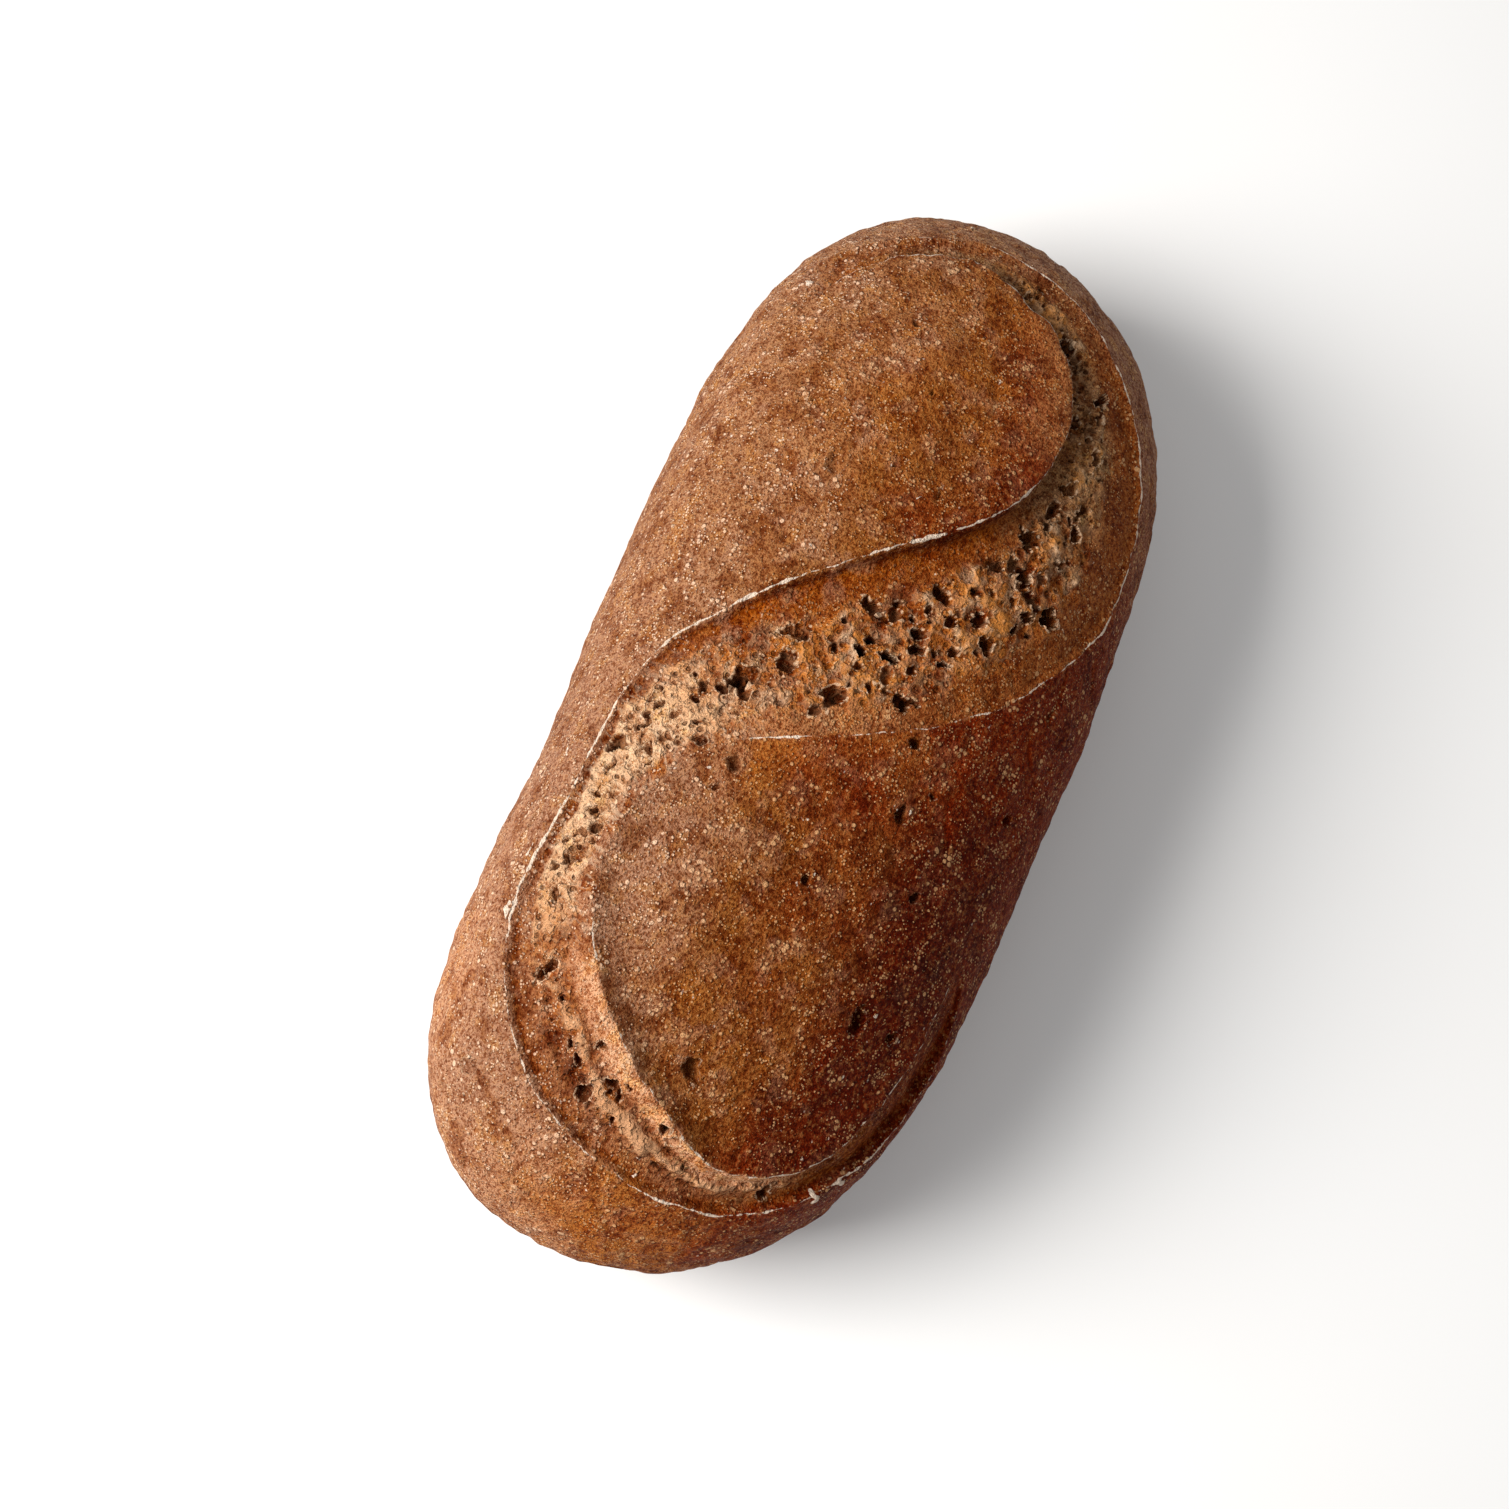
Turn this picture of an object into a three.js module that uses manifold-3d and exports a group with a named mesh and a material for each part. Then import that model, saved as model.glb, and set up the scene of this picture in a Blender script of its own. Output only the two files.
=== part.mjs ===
// A free-standing sourdough loaf: a long batard baked on a flat stone, scored with one S-shaped
// cut that hooks round both ends. The loaf is a single baked piece, so it is one solid.
//
// Frame, in millimetres: the origin is the middle of the flat base, +X runs along the loaf,
// +Y across it and +Z up. The base lies on Z = 0.
//
// The body is a row of cross-sections carried along X. Each section is a superellipse, fuller
// above the widest line than below it, cut flat where it meets the stone. The cut opened in
// the oven. Its raised lip stands proud of the skin, a step drops from it to the torn band,
// and the band climbs again until it meets the skin at the flush lip. The band is carved from
// the body by a tool lofted between the two lips.
import * as THREE from "three";
import { mergeVertices } from "three/addons/utils/BufferGeometryUtils.js";
import Module from "manifold-3d";

const wasm = await Module();
wasm.setup();

// Driving dimensions of the whole loaf.
const LENGTH = 280;
const WIDTH = 125;
const HEIGHT = 84;

// The widest line's height above the stone, and how far the section would reach below that
// line if the stone did not flatten it.
const WAIST_HEIGHT = 32;
const KEEL_DEPTH = 41;

// How bluntly each outline closes towards the ends: a higher power stays full for longer.
const PLAN_POWER = 4.07;
const PLAN_ROUNDING = 0.477;
const CREST_POWER = 3.0;
const KEEL_POWER = 3.4;

// Section exponents above and below the waist: 2 is an ellipse, more is squarer.
const CROWN_EXPONENT = 2.15;
const KEEL_EXPONENT = 2.3;

// The ends curl a little towards +Y.
const CURL = 7.3;
const CURL_POWER = 3.4;

// The skin rolls up to the raised lip: its rise, and how far from the lip it starts.
const LIP_RISE = 1.8;
const LIP_ROLL = 8;

// The carved band, as [share of the way from the flush lip to the raised lip, depth]. The
// depth holds where the band is at least FULL_WIDTH wide, and shrinks with it towards the tails.
const BAND_SECTION = [
  [0.03, 1.2],
  [0.25, 1.6],
  [0.5, 2.3],
  [0.7, 3.6],
  [0.88, 5.0],
  [0.97, 4.6],
];
const FULL_WIDTH = 10;
const TOOL_HEIGHT = 9;
const TOOL_STEPS = 150;

// Mesh density. Rings crowd towards the ends, and the crown gets most of each ring's points.
const RINGS = 72;
const CROWN_POINTS = 28;
const KEEL_POINTS = 5;
const LOWEST_GAP = 0.2;

// The cut in plan, from its tail on the +X end to its tail on the -X end. Each station gives
// a point of the raised lip and the point of the flush lip across the band from it.
const CUT_STATIONS = [
  [[88, 49.5], [92, 51.5]],
  [[101, 45], [105, 49]],
  [[110, 36], [115, 40]],
  [[116, 25], [122, 27]],
  [[118, 13], [125.5, 12]],
  [[114, 1], [124.5, -2]],
  [[107.5, -10], [120, -15.5]],
  [[98, -18], [111, -28]],
  [[86, -21.5], [97, -39.5]],
  [[74, -21], [80, -48]],
  [[62, -17.5], [62, -51.5]],
  [[51, -10.5], [44, -50]],
  [[41, 0], [28, -42.5]],
  [[31, 11], [14, -33]],
  [[20, 23], [3, -21]],
  [[8, 34], [-6, -7]],
  [[-4, 42.5], [-14, 8]],
  [[-18, 47], [-23, 23]],
  [[-34, 47.5], [-38, 33]],
  [[-50, 47.8], [-54, 35]],
  [[-66, 49], [-70, 31]],
  [[-83, 46], [-84, 22]],
  [[-98, 38.5], [-95, 10]],
  [[-110, 26], [-101, 0]],
  [[-116.5, 12], [-106, -9]],
  [[-119.3, -4], [-108, -17]],
  [[-118, -20], [-105.5, -26.5]],
  [[-111.5, -33], [-99.5, -35.5]],
  [[-101, -43.5], [-90, -42]],
  [[-88, -51.3], [-78, -47]],
  [[-72, -55.5], [-64, -49.3]],
  [[-55, -56], [-50, -50.5]],
  [[-40, -53], [-38, -51]],
];

const HALF = LENGTH / 2;

function signedPower(value, exponent) {
  return Math.sign(value) * Math.abs(value) ** exponent;
}

// The body's outlines at one station x along its length.
function station(x) {
  const share = Math.min(Math.abs(x / HALF), 1);
  return {
    halfWidth: (WIDTH / 2) * (1 - share ** PLAN_POWER) ** PLAN_ROUNDING,
    crest: (HEIGHT - WAIST_HEIGHT) * Math.sqrt(1 - share ** CREST_POWER),
    keel: KEEL_DEPTH * Math.sqrt(1 - share ** KEEL_POWER),
    middle: CURL * share ** CURL_POWER,
  };
}

// A point of the unscored body: angle 0 is the crest, positive turns towards +Y.
function bodyPoint(x, angle) {
  const { halfWidth, crest, keel, middle } = station(x);
  const crown = Math.cos(angle) >= 0;
  const exponent = 2 / (crown ? CROWN_EXPONENT : KEEL_EXPONENT);
  const y = middle + halfWidth * signedPower(Math.sin(angle), exponent);
  const z = WAIST_HEIGHT + (crown ? crest : keel) * signedPower(Math.cos(angle), exponent);
  return new THREE.Vector3(x, y, Math.max(z, 0));
}

// The angle at which the crown stands over a plan position, the inverse of bodyPoint there.
function crownAngle(x, y) {
  const { halfWidth, middle } = station(x);
  const across = THREE.MathUtils.clamp((y - middle) / halfWidth, -1, 1);
  return Math.asin(signedPower(across, CROWN_EXPONENT / 2));
}

// The outward normal of the unscored body, by central differences.
function bodyNormal(x, angle) {
  const stepX = 0.4;
  const stepAngle = 0.01;
  const inner = THREE.MathUtils.clamp(x, -HALF + 2 * stepX, HALF - 2 * stepX);
  const along = bodyPoint(inner + stepX, angle).sub(bodyPoint(inner - stepX, angle));
  const around = bodyPoint(inner, angle + stepAngle).sub(bodyPoint(inner, angle - stepAngle));
  return along.cross(around).normalize();
}

function lipCurve(side) {
  return new THREE.SplineCurve(CUT_STATIONS.map((pair) => new THREE.Vector2(...pair[side])));
}

const raisedLip = lipCurve(0);
const flushLip = lipCurve(1);
const raisedLipPoints = raisedLip.getPoints(TOOL_STEPS);

// One vertex of the unscored skin, rolled up towards the raised lip.
function skinPoint(x, angle) {
  const point = bodyPoint(x, angle);
  if (Math.cos(angle) <= 0) return point;
  const plan = new THREE.Vector2(point.x, point.y);
  const distance = Math.min(...raisedLipPoints.map((lip) => lip.distanceTo(plan)));
  const rise = LIP_RISE * Math.exp(-((distance / LIP_ROLL) ** 2));
  return point.addScaledVector(bodyNormal(x, angle), rise);
}

// The angle at which a section meets the stone on the +Y side. A section that stays clear of
// the stone gets one just short of its lowest point.
function stoneAngle(x) {
  const share = Math.min(WAIST_HEIGHT / station(x).keel, 1);
  const angle = Math.PI - Math.acos(share ** (KEEL_EXPONENT / 2));
  return Math.min(angle, Math.PI - LOWEST_GAP);
}

// The angles of one ring: from -Y over the crest, down to the stone, across it and up again.
function ringAngles(x) {
  const spread = (start, end, count) => {
    return Array.from({ length: count }, (_, i) => start + ((end - start) * i) / count);
  };
  const quarter = Math.PI / 2;
  const stone = stoneAngle(x);
  const farStone = 2 * Math.PI - stone;
  return [
    ...spread(-quarter, quarter, CROWN_POINTS),
    ...spread(quarter, stone, KEEL_POINTS),
    stone,
    ...spread(farStone, 3 * quarter, KEEL_POINTS),
  ];
}

// A closed skin over rows of points that each go once round it. first and last close its ends.
function closedSkin(rows, first, last) {
  const count = rows[0].length;
  const points = [first, ...rows.flat(), last];
  const vertex = (row, place) => 1 + row * count + (place % count);
  const index = [];
  for (let place = 0; place < count; place += 1) {
    index.push(0, vertex(0, place), vertex(0, place + 1));
    for (let row = 0; row < rows.length - 1; row += 1) {
      const [a, b] = [vertex(row, place), vertex(row, place + 1)];
      const [c, d] = [vertex(row + 1, place), vertex(row + 1, place + 1)];
      index.push(a, c, d, a, d, b);
    }
    const end = rows.length - 1;
    index.push(points.length - 1, vertex(end, place + 1), vertex(end, place));
  }
  return new THREE.BufferGeometry().setFromPoints(points).setIndex(index);
}

function bodyGeometry() {
  const rows = Array.from({ length: RINGS - 1 }, (_, i) => {
    const x = -HALF * Math.cos((Math.PI * (i + 1)) / RINGS);
    return ringAngles(x).map((angle) => skinPoint(x, angle));
  });
  return closedSkin(rows, bodyPoint(-HALF, 0), bodyPoint(HALF, 0));
}

// A point over the body at a plan position, a height along the normal.
function overBody(plan, height) {
  const angle = crownAngle(plan.x, plan.y);
  return bodyPoint(plan.x, angle).addScaledVector(bodyNormal(plan.x, angle), height);
}

// The carving tool: at each step a closed section, its floor on the band and its top clear of
// the skin.
function toolGeometry() {
  const rows = Array.from({ length: TOOL_STEPS + 1 }, (_, i) => {
    const raised = raisedLip.getPoint(i / TOOL_STEPS);
    const flush = flushLip.getPoint(i / TOOL_STEPS);
    const scale = Math.min(1, raised.distanceTo(flush) / FULL_WIDTH);
    const floor = BAND_SECTION.map(([share, depth]) => {
      return overBody(flush.clone().lerp(raised, share), -depth * scale);
    });
    return [overBody(flush, TOOL_HEIGHT), ...floor, overBody(raised, TOOL_HEIGHT)];
  });
  const middleOf = (row) => {
    const sum = row.reduce((total, point) => total.add(point), new THREE.Vector3());
    return sum.divideScalar(row.length);
  };
  return closedSkin(rows, middleOf(rows[0]), middleOf(rows.at(-1)));
}

function solidOf(geometry) {
  const merged = mergeVertices(geometry);
  const mesh = new wasm.Mesh({
    numProp: 3,
    vertProperties: merged.attributes.position.array,
    triVerts: new Uint32Array(merged.index.array),
  });
  return new wasm.Manifold(mesh);
}

function geometryOf(solid) {
  const mesh = solid.getMesh();
  return new THREE.BufferGeometry()
    .setAttribute("position", new THREE.BufferAttribute(mesh.vertProperties, 3))
    .setIndex(new THREE.BufferAttribute(mesh.triVerts, 1));
}

// The rolled lip lifts the skin a little past the driving sizes, so the loaf is brought back
// to them, centred on the origin with its flat base on Z = 0.
function fitToSize(geometry) {
  geometry.computeBoundingBox();
  const size = geometry.boundingBox.getSize(new THREE.Vector3());
  const middle = geometry.boundingBox.getCenter(new THREE.Vector3());
  geometry.translate(-middle.x, -middle.y, 0);
  geometry.scale(LENGTH / size.x, WIDTH / size.y, HEIGHT / size.z);
  return geometry;
}

// Slivers where the two surfaces cross are closed up, to a twentieth of a millimetre.
const carved = solidOf(bodyGeometry()).subtract(solidOf(toolGeometry())).simplify(0.05);
const crust = new THREE.MeshStandardMaterial({ color: 0x9a5b2e, roughness: 0.8, metalness: 0 });
const loaf = new THREE.Mesh(fitToSize(geometryOf(carved)), crust);
loaf.name = "loaf";

const group = new THREE.Group();
group.add(loaf);

export default group;
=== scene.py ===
import itertools
import math

import bpy
import numpy as np
from mathutils import Euler, Matrix, Vector


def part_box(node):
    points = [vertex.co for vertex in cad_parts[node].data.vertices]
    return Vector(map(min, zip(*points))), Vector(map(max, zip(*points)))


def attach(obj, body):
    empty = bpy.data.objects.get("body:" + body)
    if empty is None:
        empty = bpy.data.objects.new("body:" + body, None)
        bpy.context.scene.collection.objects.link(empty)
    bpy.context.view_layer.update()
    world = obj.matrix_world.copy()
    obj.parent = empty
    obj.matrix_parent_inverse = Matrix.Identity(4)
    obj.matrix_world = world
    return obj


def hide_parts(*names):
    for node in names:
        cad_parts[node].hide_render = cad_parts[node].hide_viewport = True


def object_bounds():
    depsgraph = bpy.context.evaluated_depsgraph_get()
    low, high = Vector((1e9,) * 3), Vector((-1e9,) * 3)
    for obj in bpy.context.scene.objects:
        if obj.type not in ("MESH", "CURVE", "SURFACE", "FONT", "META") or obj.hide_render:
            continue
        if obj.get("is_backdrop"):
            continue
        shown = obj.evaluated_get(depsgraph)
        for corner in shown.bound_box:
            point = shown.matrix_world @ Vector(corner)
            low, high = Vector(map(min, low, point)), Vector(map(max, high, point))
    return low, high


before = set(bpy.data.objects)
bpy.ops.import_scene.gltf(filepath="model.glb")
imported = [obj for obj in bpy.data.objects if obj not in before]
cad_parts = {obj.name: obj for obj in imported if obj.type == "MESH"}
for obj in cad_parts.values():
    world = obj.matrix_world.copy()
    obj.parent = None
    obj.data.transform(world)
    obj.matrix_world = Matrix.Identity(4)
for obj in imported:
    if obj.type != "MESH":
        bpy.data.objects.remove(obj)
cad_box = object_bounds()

bl_info = {
    "name": "Sourdough Loaf",
    "version": (1, 0, 0),
    "blender": (4, 5, 0),
    "location": "View3D > Sidebar > Loaf",
    "description": "A long wholegrain sourdough loaf with one S-shaped cut, and a plain studio to see it in",
    "category": "Add Mesh",
}

# Shapes are worked out in millimetres and written into the mesh in metres.
MM = 0.001

# The loaf's own size, from the frame.
LOW, HIGH = (np.array(corner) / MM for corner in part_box("loaf"))
LENGTH, WIDTH, HEIGHT = HIGH - LOW
HALF = LENGTH / 2

# The widest line's height above the stone, the section's reach below it without the stone, how
# softly the stone flattens it, and the least angle from its lowest point to the stone's edge.
WAIST_HEIGHT = 32
KEEL_DEPTH = 41
STONE_SOFTNESS = 1.6
LOWEST_GAP = 0.2

# How bluntly each outline closes towards the ends, and how square each section is.
PLAN_POWER = 4.07
PLAN_ROUNDING = 0.477
CREST_POWER = 3.0
KEEL_POWER = 3.4
CROWN_EXPONENT = 2.15
KEEL_EXPONENT = 2.3

# The ends curl a little towards +Y.
CURL = 7.3
CURL_POWER = 3.4

# Where the +Y side and the +Y corner at the +X end are drawn in, and by how much.
SLACK_X = -42
SLACK_REACH = 48
SLACK = 3.4
CORNER_DRAW = 2.4

# The cut in plan, from its tail on the +X end to its tail on the -X end. Each station gives
# a point of the raised lip and the point of the flush lip across the band from it. Everything
# that changes along the cut is given by station number, counted from the first.
CUT_STATIONS = np.array([
    [[88, 46.5], [93, 51.5]],
    [[99.5, 42], [105, 48.5]],
    [[108.5, 35], [115, 39.5]],
    [[114, 25], [121, 26.5]],
    [[115.5, 13], [124.5, 12]],
    [[112.3, 1], [123.5, -2]],
    [[107, -9.5], [119, -15.5]],
    [[98, -17], [109.5, -27.5]],
    [[86, -21.5], [97, -39.5]],
    [[74, -21], [80, -48]],
    [[62, -17.5], [62, -51.5]],
    [[51, -10.5], [44, -50]],
    [[41, 0], [28, -42.5]],
    [[31, 11], [14, -33]],
    [[20, 23], [3, -21]],
    [[8, 34], [-6, -7]],
    [[-4, 42.5], [-14, 8]],
    [[-18, 47], [-23, 23]],
    [[-34, 47.5], [-38, 33]],
    [[-50, 47.8], [-54, 35]],
    [[-66, 49], [-70, 31]],
    [[-83, 46], [-84, 22]],
    [[-98, 38.5], [-95, 10]],
    [[-110, 26], [-101, 0]],
    [[-116.5, 12], [-106, -9]],
    [[-119.3, -4], [-108, -17]],
    [[-118, -20], [-105.5, -26.5]],
    [[-111.5, -33], [-99.5, -35.5]],
    [[-101, -43.5], [-90, -42]],
    [[-88, -51.3], [-78, -47]],
    [[-72, -55.5], [-64, -49.3]],
    [[-55, -56], [-50, -50.5]],
    [[-40, -53], [-38, -51]],
])
LAST_STATION = len(CUT_STATIONS) - 1
SAMPLES_PER_STATION = 24
TAIL_STATIONS = 1.2

# The raised lip's edge, across the cut: where the skin was, where it is now, and how much of the
# drop to the band is behind it. The edge leans out over the band, and the wall below is undercut.
LIP_EDGE = np.array([
    [-7, -7, 0],
    [-2.4, -2.1, 0],
    [-0.9, -0.3, 0],
    [-0.3, 0.35, 0.01],
    [0.1, 0.55, 0.07],
    [0.5, 0.5, 0.3],
    [0.9, 0.35, 0.62],
    [1.4, 0.45, 0.88],
    [2, 1.1, 0.98],
    [3.2, 2.7, 1],
    [7, 7, 1],
])
FULL_GAP = 11
LIP_ROLL = 10

# By station: how much of that lean the raised lip keeps, and how gently its edge rounds over, as
# a multiple of the profile's width.
LIP_LEAN = (
    (0, 0.2), (5, 0.2), (7, 0.6), (9, 0.5), (11, 0.25), (17, 0.15), (27, 0.1), (30, 0.6), (32, 0.6),
)
LIP_SOFTNESS = ((0, 1), (8, 1), (11, 1.7), (16, 1.5), (20, 1), (32, 1))

# How ragged the flush lip is. By station: how ragged the raised lip is, its rise, and the depth
# of the step below it.
FLUSH_RAGGED = 1.3
LIP_RAGGED = ((0, 1.6), (2, 2.4), (6, 2.2), (8, 1), (20, 1), (24, 1.5), (28, 1.8), (32, 1.4))
LIP_RISE = (
    (0, 0.6), (1, 1.2), (4, 1.4), (8, 1.6), (13, 1.4), (16, 0.8), (20, 0.7), (25, 0.9), (29, 1.4),
    (32, 0.4),
)
STEP_DEPTH = (
    (0, 0.8), (1, 1.8), (2, 2.2), (4, 2.4), (5, 3), (6.5, 4.4), (9, 4.2), (11, 3.4), (13, 2.4),
    (15, 1.7), (17, 1.2), (20, 1.5), (25, 1.4), (29, 1.8), (32, 0.4),
)

# The band's depth by share of the way across it, from the raised lip, as a share of the step.
BAND_SECTION = ((0, 0.8), (0.1, 1), (0.25, 0.86), (0.5, 0.52), (0.75, 0.3), (1, 0.2))

# By station, the flush lip: the ridge it stands up as, how far that ridge spreads into the band,
# and the hollow behind it. Then how far the ridge and the hollow reach into the skin.
FLUSH_RIDGE = (
    (0, 0.5), (6, 0.4), (16, 0.1), (18.5, 0.8), (20, 2), (24, 2.4), (27, 2), (30, 0.8),
    (32, 0.1),
)
RIDGE_SPREAD = ((0, 1.2), (17, 1.4), (19, 5), (22, 6), (24, 3), (26, 1.4), (32, 1.4))
RIDGE_HOLLOW = ((0, 0), (17, 0), (19.5, 1.4), (22, 2.4), (24, 1.4), (26, 0.2), (32, 0))
RIDGE_REACH = 5
HOLLOW_REACH = 5

# By station: where the open crumb starts and ends across the band, and how many small holes
# each station of it holds.
CRUMB_START = (
    (0, 0.9), (4, 0.8), (5, 0.25), (7, 0.16), (10, 0.24), (14, 0.28), (16.5, 0.14), (19, 0.14),
    (22, 0.26), (24, 0.3), (27, 0.4), (29, 0.6), (32, 0.9),
)
CRUMB_END = (
    (0, 0.95), (4, 0.85), (5, 0.62), (7, 0.6), (10, 0.66), (14, 0.78), (17, 0.84), (19, 0.78),
    (21, 0.62), (24, 0.7), (27, 0.6), (29, 0.65), (32, 0.9),
)
HOLES_PER_STATION = (
    (0, 0), (4, 6), (5, 24), (9, 34), (13, 34), (16, 80), (19, 76), (21, 26), (23, 16), (25, 12),
    (27, 8), (29, 0), (32, 0),
)
HOLE_SIZE = ((0, 0.5), (5, 0.5), (9, 0.6), (13, 0.6), (15, 0.5), (19, 0.5), (24, 0.55), (32, 0.5))

# Large holes in the crumb: place in plan, size along X and Y before turning, turn in degrees, depth.
CRUMB_HOLES = (
    # outer hook, -X end
    (-105.5, -2.5, 3.6, 2.6, 20, 4),
    (-107, -5.5, 3, 3, 0, 1.4),
    (-105.5, 17.5, 4.2, 3.2, 30, 2.2),
    (-99.5, 21.5, 3.4, 1.6, 45, 2),
    (-97.5, 25, 2.6, 1.6, 40, 1.8),
    (-94.5, 18, 2, 2.8, 20, 3),
    (-102, 12, 1.6, 4.4, -35, 3.4),
    (-100.5, 8, 1.2, 2.6, -35, 2.8),
    (-88.5, 31, 1.6, 1.2, 20, 2),
    (-86, 37.5, 2.6, 2.2, 0, 2),
    (-83.5, 36.5, 3.6, 1.6, 10, 2.2),
    (-110, -30.5, 2.4, 3.2, 30, 2.6),
    # along the +Y side
    (-62, 44, 1.8, 1.2, 0, 3),
    (-59.5, 43.5, 3.2, 1.2, 5, 3),
    (-55.5, 45, 2.2, 1.6, 0, 2.8),
    (-67.5, 42.5, 4.2, 1.4, 10, 1.6),
    (-52.5, 42.5, 2.2, 2, 0, 1.6),
    (-47, 42.5, 1.4, 1.4, 0, 2.4),
    (-35.5, 43, 2.8, 1.2, -10, 2.6),
    (-31, 44.5, 4, 1.8, -5, 4),
    (-25.5, 41, 1.4, 1.8, 0, 3.2),
    (-24, 39.5, 1.4, 2.2, 20, 2.6),
    (-21.5, 41, 2.2, 1.6, -20, 3),
    (-18, 38.5, 2.2, 1.6, -20, 2.6),
    (-29.5, 37, 2.2, 2.8, 0, 1.4),
    (-25.5, 34, 2.4, 2.8, 0, 1.6),
    (-19.5, 29, 1.4, 3.2, 0, 2.4),
    (-23, 27, 1.4, 4, 15, 2.2),
    # middle
    (-7, 25.5, 3.2, 5, 0, 4.6),
    (-4.5, 24.5, 3.8, 4.6, 0, 2.2),
    (-9.5, 22.5, 2.6, 3, 0, 2.2),
    (-11, 32, 3, 2.4, -30, 2.8),
    (-14.5, 32, 1.6, 1.6, 0, 2),
    (2.5, 17, 4.6, 4, 0, 2),
    (8.5, 19.5, 3.6, 2.2, -30, 2.2),
    (9.5, 16.5, 4.8, 3.8, 0, 1.8),
    (10, 8, 2.2, 2, 0, 2.4),
    (16, 8.5, 1.6, 2.6, 0, 1.8),
    (11.5, 2, 3.2, 2.8, 0, 6),
    (12.5, -4, 2.2, 5.2, -8, 6),
    (14.8, 1.5, 1.4, 3, 0, 3.6),
    (23, 4, 3.4, 5.4, 0, 2.8),
    (23.5, -2, 2.6, 1.4, 0, 2.4),
    (25.8, -1.5, 1.6, 2.2, 0, 2.2),
    (-1, 4, 3.4, 6.2, 15, 2.8),
    (-6, 6.5, 2.2, 4.2, 20, 1.8),
    (4, -3.5, 2.4, 2.4, 0, 1.8),
    (7.5, -5.5, 4.2, 3, 0, 1.6),
    (4.5, -11.5, 3, 6.2, 5, 4.2),
    (11.5, -10.5, 2.6, 2.6, 0, 1.8),
    (17, -10, 2.6, 4.2, 20, 2.4),
    (17, -17, 1.4, 3.6, 0, 2.2),
    (21, -8.5, 2.2, 4.2, -20, 3.2),
    (27, -8.5, 3.2, 2.2, 0, 1.8),
    (32, -10.5, 3.8, 5.2, -20, 3.4),
    (27, -14, 4, 3.2, 0, 2),
    (20.5, -18.5, 2.4, 2.4, 0, 2.2),
    (31, -21, 2.6, 3.8, 0, 3.2),
    (26, -24, 3.2, 4, 10, 3.2),
    (33, -29, 2.4, 2.4, 0, 2.8),
    (37.5, -31, 2.2, 3.6, -15, 2.8),
    (41, -37, 5.8, 4.8, 0, 6),
    (34.5, -34, 1.4, 1.4, 0, 2.6),
    # inner hook, +X end
    (42, -30, 3.2, 3.2, 0, 2.4),
    (46, -27.5, 4.2, 3.4, 20, 3.4),
    (47.5, -23.5, 4.4, 3.8, 0, 2),
    (56, -25.5, 4.2, 4.6, 0, 2.8),
    (54, -34.5, 3.2, 2.2, 0, 1.6),
    (66, -28, 4.2, 3, 0, 2.8),
    (65, -33, 1.6, 1.4, 0, 2.6),
    (63.5, -35.5, 4.2, 2.4, 10, 2.4),
    (69.5, -34.5, 2.6, 2.6, 0, 2.2),
    (73, -30, 4.2, 3, 0, 1.8),
    (84, -33, 4.2, 2.8, 25, 2.2),
    (88, -30, 1.6, 1.6, 0, 2.6),
    (90.5, -25.5, 3.4, 3, 0, 2.2),
    (99.5, -29, 3.2, 2.6, 20, 4),
    (94.5, -30.5, 2.2, 1.8, 0, 2.2),
    (118.6, 3.5, 1, 3.4, 5, 2),
    (119.2, -4.5, 1.2, 3, 5, 2),
    (115.8, 10.5, 1.2, 2.6, 0, 2),
    (110.5, -4.5, 1, 4, -20, 2.2),
)

# Pits and burst blisters in the crust, given the same way.
CRUST_PITS = (
    (-92, -2.5, 6.4, 4.6, 30, 2),
    (-65.5, -33, 5.4, 4, 20, 2),
    (-34.5, -33, 3.2, 3, 0, 2),
    (-43, -8, 3.2, 3, 0, 1.8),
    (-38.5, -0.5, 1.2, 1.2, 0, 1.2),
    (-2.5, -18, 2.8, 2.6, 0, 2.4),
    (-19, -22, 4.6, 3, 15, 2.2),
    (-12.5, -27.5, 2, 1.8, 0, 1.2),
    (-7, -46.5, 2.8, 2.4, 0, 1.4),
    (20, -47, 5.4, 1.4, 0, 1),
    (-65, -43, 2.4, 2, 0, 1.4),
    (-24.5, 18, 4.2, 4, 0, 1.6),
    (-31, 19.5, 3.2, 1.6, -30, 1.2),
    (50, 25.5, 6.4, 4, 0, 0.9),
    (52.5, 1, 5.4, 1.6, -10, 0.8),
    (55.5, 13, 1, 1, 0, 1.2),
    (76, 11, 1.6, 1.6, 0, 1),
    (93.5, 21, 3.2, 2.4, 0, 1),
    (64, 36.5, 1, 1, 0, 1.2),
    (46, 28.5, 0.8, 0.8, 0, 1),
    (92, 48, 4.4, 1.8, -30, 1.2),
    (-53, 53.5, 3.2, 1.6, -20, 0.9),
    (-110.5, 42.5, 4.2, 2.6, 0, 0.9),
    (-117.5, 45.5, 4.4, 1.6, 30, 0.9),
)

# Patches where the crust is painted darker, and with a negative strength lighter: partly its bake,
# partly painted shade on the -Y side and painted light on the +Y flank and where the skin turns from
# the key light. Given the same way again, with a strength in place of the depth.
BAKE_LIGHT_AND_SHADE_PATCHES = (
    (-55, -36, 110, 44, 8, 1),
    (-20, -44, 70, 26, 0, 0.15),
    (-100, -8, 22, 40, 0, 0.35),
    (-92, -18, 26, 30, 0, 0.3),
    (-12, 10, 40, 36, 0, -0.9),
    (-132, 0, 36, 80, 0, -0.95),
    (0, -20, 34, 30, 0, -0.55),
    (72, 22, 80, 50, 0, -0.5),
    (98, -10, 50, 34, 20, -0.6),
    (4, -16, 34, 24, -50, -0.4),
    (-95, 60, 100, 26, 5, -0.8),
)

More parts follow.
